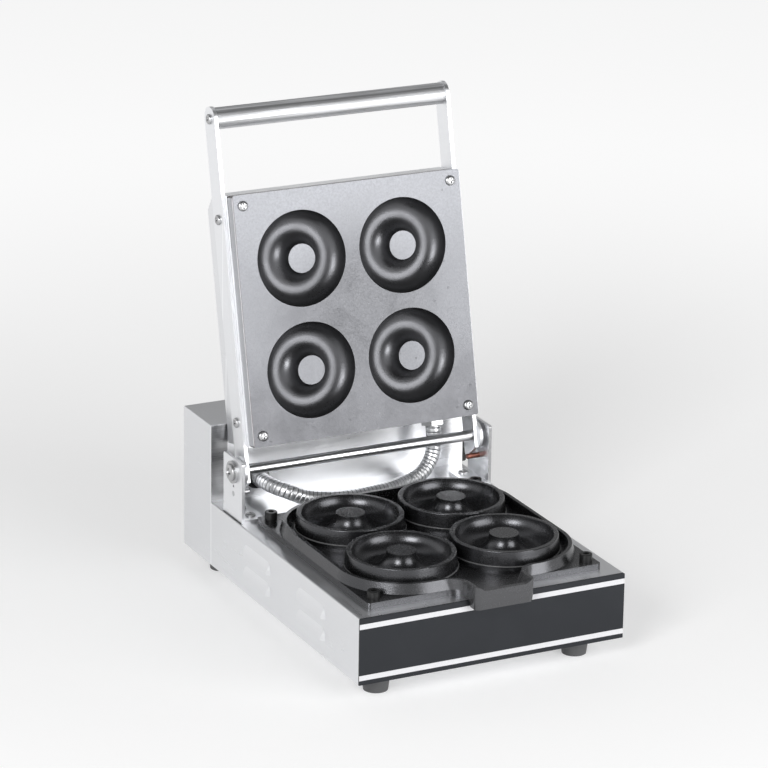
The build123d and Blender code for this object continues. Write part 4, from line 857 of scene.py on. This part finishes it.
# %% [markdown]
# ## Stripes on the front panel
#
# Two white stripes of tape run along the black panel, near its top and its bottom edge. They could be a mask
# in the panel's finish, but tape has an edge that catches light. So each stripe is a cube scaled down to a
# thin strip. The upper one passes behind the casting's spout, which stands half a millimetre off the panel.

# %% Lay the two stripes
stripe_width, stripe_thick = 4.7 * mm, 0.15 * mm
low_stripe_rise, high_stripe_drop = 6.55 * mm, 7.55 * mm
panel_low, panel_high = (Vector(corner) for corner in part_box("front_panel"))
stripe_heights = (panel_low.z + low_stripe_rise, panel_high.z - high_stripe_drop)

bm = bmesh.new()
for middle in stripe_heights:
    place = Matrix.Translation((0.0, panel_low.y - stripe_thick / 2, middle))
    size = Matrix.Diagonal((panel_high.x - panel_low.x, stripe_thick, stripe_width, 1.0))
    bmesh.ops.create_cube(bm, size=1.0, matrix=place @ size)
stripes = make_piece(bm, "front_stripes", "stripe_white")
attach(stripes, "base")
print("stripes at", [round(value / mm, 1) for value in stripe_heights], "mm")

# %% [markdown]
# ## Beads round the cups
#
# Low on each cup's wall, the casting has a fine round bead, left by the parting line of its mould. Its colour
# is painted pale as a highlight, so it shows as a thin bright line. A bump could hint at it, but only real
# geometry catches light along a line. Each bead is a small circle that is spun round the cup's axis, and it sinks
# half
# its width into the wall.

# %% Spin the four beads
bead_radius = 0.7 * mm
bead_ring = 50.2 * mm
bead_height = 91.2 * mm
bead_corners, bead_steps = 10, 72
merge_gap = 0.0005 * mm
cup_places = [Vector((x, y, 0.0)) * mm for x in (-51.0, 51.0) for y in (-107.0, -5.0)]
upright = (0, 0, 1)

bm = bmesh.new()
for cup in cup_places:
    start = Matrix.Translation(cup + Vector((bead_ring, 0.0, bead_height))) @ Matrix.Rotation(pi / 2, 4, "X")
    section = bmesh.ops.create_circle(bm, segments=bead_corners, radius=bead_radius, matrix=start)["verts"]
    rim = list({edge for vertex in section for edge in vertex.link_edges})
    round_cup = {"cent": cup, "axis": upright, "angle": 2 * pi, "steps": bead_steps}
    bmesh.ops.spin(bm, geom=section + rim, use_merge=True, **round_cup)
bmesh.ops.remove_doubles(bm, verts=bm.verts[:], dist=merge_gap)
bmesh.ops.recalc_face_normals(bm, faces=bm.faces[:])
# The beads' pale colour is a painted highlight.
beads = make_piece(bm, "cup_beads", "bead_highlight", smooth_angle=60)
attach(beads, "base")
print("bead faces:", len(beads.data.polygons))

# %% [markdown]
# ## Measuring the screws
#
# In CAD the screws are plain turned heads, and the real ones have a domed head with a cross recess. Sizes
# could be typed in again, but then a change in CAD would be missed. So each CAD screw is measured from a
# merged copy of its mesh: its axis, its head and its shank.

# %% Measure the CAD screws
screw_sets = {
    "upper_plate_screws": (lid_outward, "lid"),
    "arm_screws": (Vector((1, 0, 0)), "lid"),
    "handle_screws": (Vector((1, 0, 0)), "lid"),
    "hinge_bolts": (Vector((1, 0, 0)), "base"),
    "bracket_screws": (Vector((0, 0, 1)), "base"),
    "rear_cover_screws": (Vector((0, 1, 0)), "base"),
    "bottom_screws": (Vector((0, 0, -1)), "base"),
}
corner_gap = 0.001 * mm
shank_end_depth = 0.1 * mm
head_edge_share = 0.98


def solids_of(node):
    """The separate solids of a CAD node, each as the places of its corners."""
    copy = bmesh.new()
    copy.from_mesh(nodes[node].data)
    copy.transform(nodes[node].matrix_world)
    bmesh.ops.remove_doubles(copy, verts=copy.verts[:], dist=corner_gap)
    waiting = set(copy.verts)
    solids = []
    while waiting:
        reached = [waiting.pop()]
        for vertex in reached:
            touching = {edge.other_vert(vertex) for edge in vertex.link_edges} & waiting
            waiting -= touching
            reached.extend(touching)
        solids.append([vertex.co.copy() for vertex in reached])
    copy.free()
    return solids


def measure_screw(corners, axis):
    """Turns a screw so that its axis is Z, and reads its place, its radii and its heights."""
    turn = axis.to_track_quat("Z", "Y").to_matrix().to_4x4()
    flat = [turn.inverted() @ corner for corner in corners]
    middle = [(min(place[i] for place in flat) + max(place[i] for place in flat)) / 2 for i in (0, 1)]
    spots = [(Vector((place.x - middle[0], place.y - middle[1])).length, place.z) for place in flat]
    head_radius = max(radius for radius, _ in spots)
    seat = min(height for radius, height in spots if radius > head_edge_share * head_radius)
    end = min(height for _, height in spots)
    shank_radius = max(radius for radius, height in spots if height < end + shank_end_depth)
    top = max(height for _, height in spots)
    place = turn @ Matrix.Translation((middle[0], middle[1], seat))
    return place, head_radius, top - seat, shank_radius, seat - end


measured = {}
for node, (axis, _) in screw_sets.items():
    measured[node] = []
    for corners in solids_of(node):
        outside = -axis if axis.x and sum(corner.x for corner in corners) < 0 else axis
        measured[node].append(measure_screw(corners, outside))
print("screws measured:", {node: len(found) for node, found in measured.items()})

# %% [markdown]
# ## Turning the screws and punching the cross
#
# A screw is its profile turned round its axis, so a spin makes it. The cross was punched in while the steel
# was cold. A boolean with a cross-shaped cutter could do that, but leaves ragged faces on a dome. Instead the
# dome is split along the cross, and the faces inside it are pushed down and together, as the punch does.

# %% Turn one screw and punch its cross
rim_share, dome_steps, dome_fullness, turn_steps = 0.3, 6, 0.7, 32
cross_reach, cross_half_width = 0.56, 0.12
cross_floor_share, cross_floor_height = 0.72, 0.30


def turned_screw(head_radius, head_height, shank_radius, shank_length):
    """A screw with a plain domed head on the origin, head up, as a bmesh, and the height of the head's rim."""
    bm = bmesh.new()
    rim = head_height * rim_share
    profile = [(0.0, -shank_length), (shank_radius, -shank_length), (shank_radius, 0.0), (head_radius, 0.0)]
    for step in range(dome_steps + 1):
        angle = pi / 2 * step / dome_steps
        profile.append((head_radius * cos(angle) ** dome_fullness, rim + (head_height - rim) * sin(angle)))
    corners = [bm.verts.new((radius, 0.0, height)) for radius, height in profile]
    line = [bm.edges.new(pair) for pair in zip(corners, corners[1:])]
    round_axis = {"cent": (0, 0, 0), "axis": upright, "angle": 2 * pi, "steps": turn_steps}
    bmesh.ops.spin(bm, geom=corners + line, use_merge=True, use_duplicate=False, **round_axis)
    bmesh.ops.remove_doubles(bm, verts=bm.verts[:], dist=merge_gap)
    bmesh.ops.recalc_face_normals(bm, faces=bm.faces[:])
    return bm, rim


def in_cross(spot, reach, half_width):
    """Whether a spot on the head lies inside the cross."""
    near, far = sorted((abs(spot.x), abs(spot.y)))
    return far < reach and near < half_width


def punch_cross(bm, rim, head_radius, head_height):
    """Splits the dome along the cross, and pushes the faces inside it down and together."""
    reach, half_width = head_radius * cross_reach, head_radius * cross_half_width
    for direction in (Vector((1, 0, 0)), Vector((0, 1, 0))):
        for distance in (-reach, -half_width, half_width, reach):
            dome = [face for face in bm.faces if face.calc_center_median().z > rim]
            parts = {part for face in dome for part in (*face.verts, *face.edges)} | set(dome)
            bmesh.ops.bisect_plane(bm, geom=list(parts), plane_co=direction * distance, plane_no=direction)
    dome = [(face, face.calc_center_median()) for face in bm.faces]
    cross = [face for face, spot in dome if spot.z > rim and in_cross(spot, reach, half_width)]
    pushed = bmesh.ops.extrude_face_region(bm, geom=cross)["geom"]
    floor_corners = [part for part in pushed if isinstance(part, bmesh.types.BMVert)]
    bmesh.ops.delete(bm, geom=[face for face in cross if face.is_valid], context="FACES")
    bmesh.ops.scale(bm, vec=(cross_floor_share, cross_floor_share, 0.0), verts=floor_corners)
    bmesh.ops.translate(bm, vec=(0, 0, head_height * cross_floor_height), verts=floor_corners)
    bmesh.ops.recalc_face_normals(bm, faces=bm.faces[:])


print("a cross reaches", cross_reach, "of the head's radius")

# %% [markdown]
# ## Setting the screws
#
# Each set of screws is one piece, as in CAD, and it replaces the CAD node. A bmesh can only take in a mesh,
# so every finished screw is moved to its place, written to a mesh for a moment, and read into the set.

# %% Set the screws in place
for node, (_, body) in screw_sets.items():
    bm = bmesh.new()
    for place, head_radius, head_height, shank_radius, shank_length in measured[node]:
        single, rim = turned_screw(head_radius, head_height, shank_radius, shank_length)
        punch_cross(single, rim, head_radius, head_height)
        single.transform(place)
        mesh = bpy.data.meshes.new("single_screw")
        single.to_mesh(mesh)
        single.free()
        bm.from_mesh(mesh)
        bpy.data.meshes.remove(mesh)
    name = node.replace("screws", "cross_screws").replace("bolts", "cross_bolts")
    piece = make_piece(bm, name, "plated_fastener", smooth_angle=35)
    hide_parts(node)
    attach(piece, body)
    print(piece.name, "faces:", len(piece.data.polygons))

# %% [markdown]
# ## Dials and marks
#
# The timer and the thermostat are turned by two knobs on the right wall. Ticks and plain numbers are
# printed round them, and the switch has ON and OFF beside it. Print is a thin film. A picture of the dials
# would blur when seen from near, so the text curves are turned into meshes and laid a few hundredths of a
# millimetre proud.

# %% Print the dials
print_proud = 0.06 * mm
tick_inner, tick_outer, tick_width = 20.3 * mm, 21.9 * mm, 0.5 * mm
number_radius, number_size = 24.4 * mm, 3.4 * mm
word_size, on_above, off_below = 2.8 * mm, 12.4 * mm, 13.0 * mm
timer_step, thermostat_step = 50, 45
wall_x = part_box("rear_box")[1][0]
wall_turn = Matrix(((0, 0, 1), (1, 0, 0), (0, 1, 0))).to_4x4()


def lay_text(bm, words, y, z, size):
    """Adds a word to the print on the right wall, centred on a place."""
    data = bpy.data.curves.new("word", "FONT")
    data.body = words
    data.size = size
    data.align_x = "CENTER"
    data.align_y = "CENTER"
    data.extrude = print_proud / 2
    mesh = read_mesh(data)
    mesh.transform(Matrix.Translation((wall_x + print_proud / 2, y, z)) @ wall_turn)
    bm.from_mesh(mesh)
    bpy.data.meshes.remove(mesh)


def lay_dial(bm, centre, degrees_apart, words):
    """Ticks clockwise from the top of a knob, with a number at each."""
    middle = Matrix.Translation((wall_x + print_proud / 2, centre.y, centre.z))
    out = Matrix.Translation((0, 0, (tick_inner + tick_outer) / 2))
    size = Matrix.Diagonal((print_proud, tick_width, tick_outer - tick_inner, 1.0))
    for count, word in enumerate(words):
        angle = radians(degrees_apart * count)
        turn = Matrix.Rotation(-angle, 4, "X")
        bmesh.ops.create_cube(bm, size=1.0, matrix=middle @ turn @ out @ size)
        if word:
            y = centre.y + number_radius * sin(angle)
            lay_text(bm, word, y, centre.z + number_radius * cos(angle), number_size)


def middle_of(node):
    """The middle of a CAD node's box."""
    low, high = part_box(node)
    return (Vector(low) + Vector(high)) / 2


bm = bmesh.new()
lay_dial(bm, middle_of("timer_knob"), timer_step, ["0", "1", "2", "3", "4", "5", "6"])
lay_dial(bm, middle_of("thermostat_knob"), thermostat_step, ["", "1", "2", "3", "4", "5", "6"])
switch = middle_of("switch_rocker")
lay_text(bm, "ON", switch.y, switch.z + on_above, word_size)
lay_text(bm, "OFF", switch.y, switch.z - off_below, word_size)
dials = make_piece(bm, "dial_print", "print_black")
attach(dials, "base")
print("print faces:", len(dials.data.polygons))

# %% [markdown]
# ## Pointer lines on the knobs
#
# Each knob has a white line on its front that points at the number. It has to turn with the knob, so it can't
# be part of the dial's print. Like the ticks, it is a flat cube, and it rides on the knob's own body.

# %% Lay the pointer lines
pointer_rise, pointer_width, pointer_length = 12.0 * mm, 1.2 * mm, 9.0 * mm

for body in ("timer_knob", "thermostat_knob"):
    knob = middle_of(body)
    knob_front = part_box(body)[1][0]
    bm = bmesh.new()
    place = Matrix.Translation((knob_front + print_proud / 2, knob.y, knob.z + pointer_rise))
    size = Matrix.Diagonal((print_proud, pointer_width, pointer_length, 1.0))
    bmesh.ops.create_cube(bm, size=1.0, matrix=place @ size)
    pointer = make_piece(bm, body.replace("knob", "pointer"), "stripe_white")
    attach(pointer, body)
    print(pointer.name, "at z", round((knob.z + pointer_rise) / mm, 1), "mm")
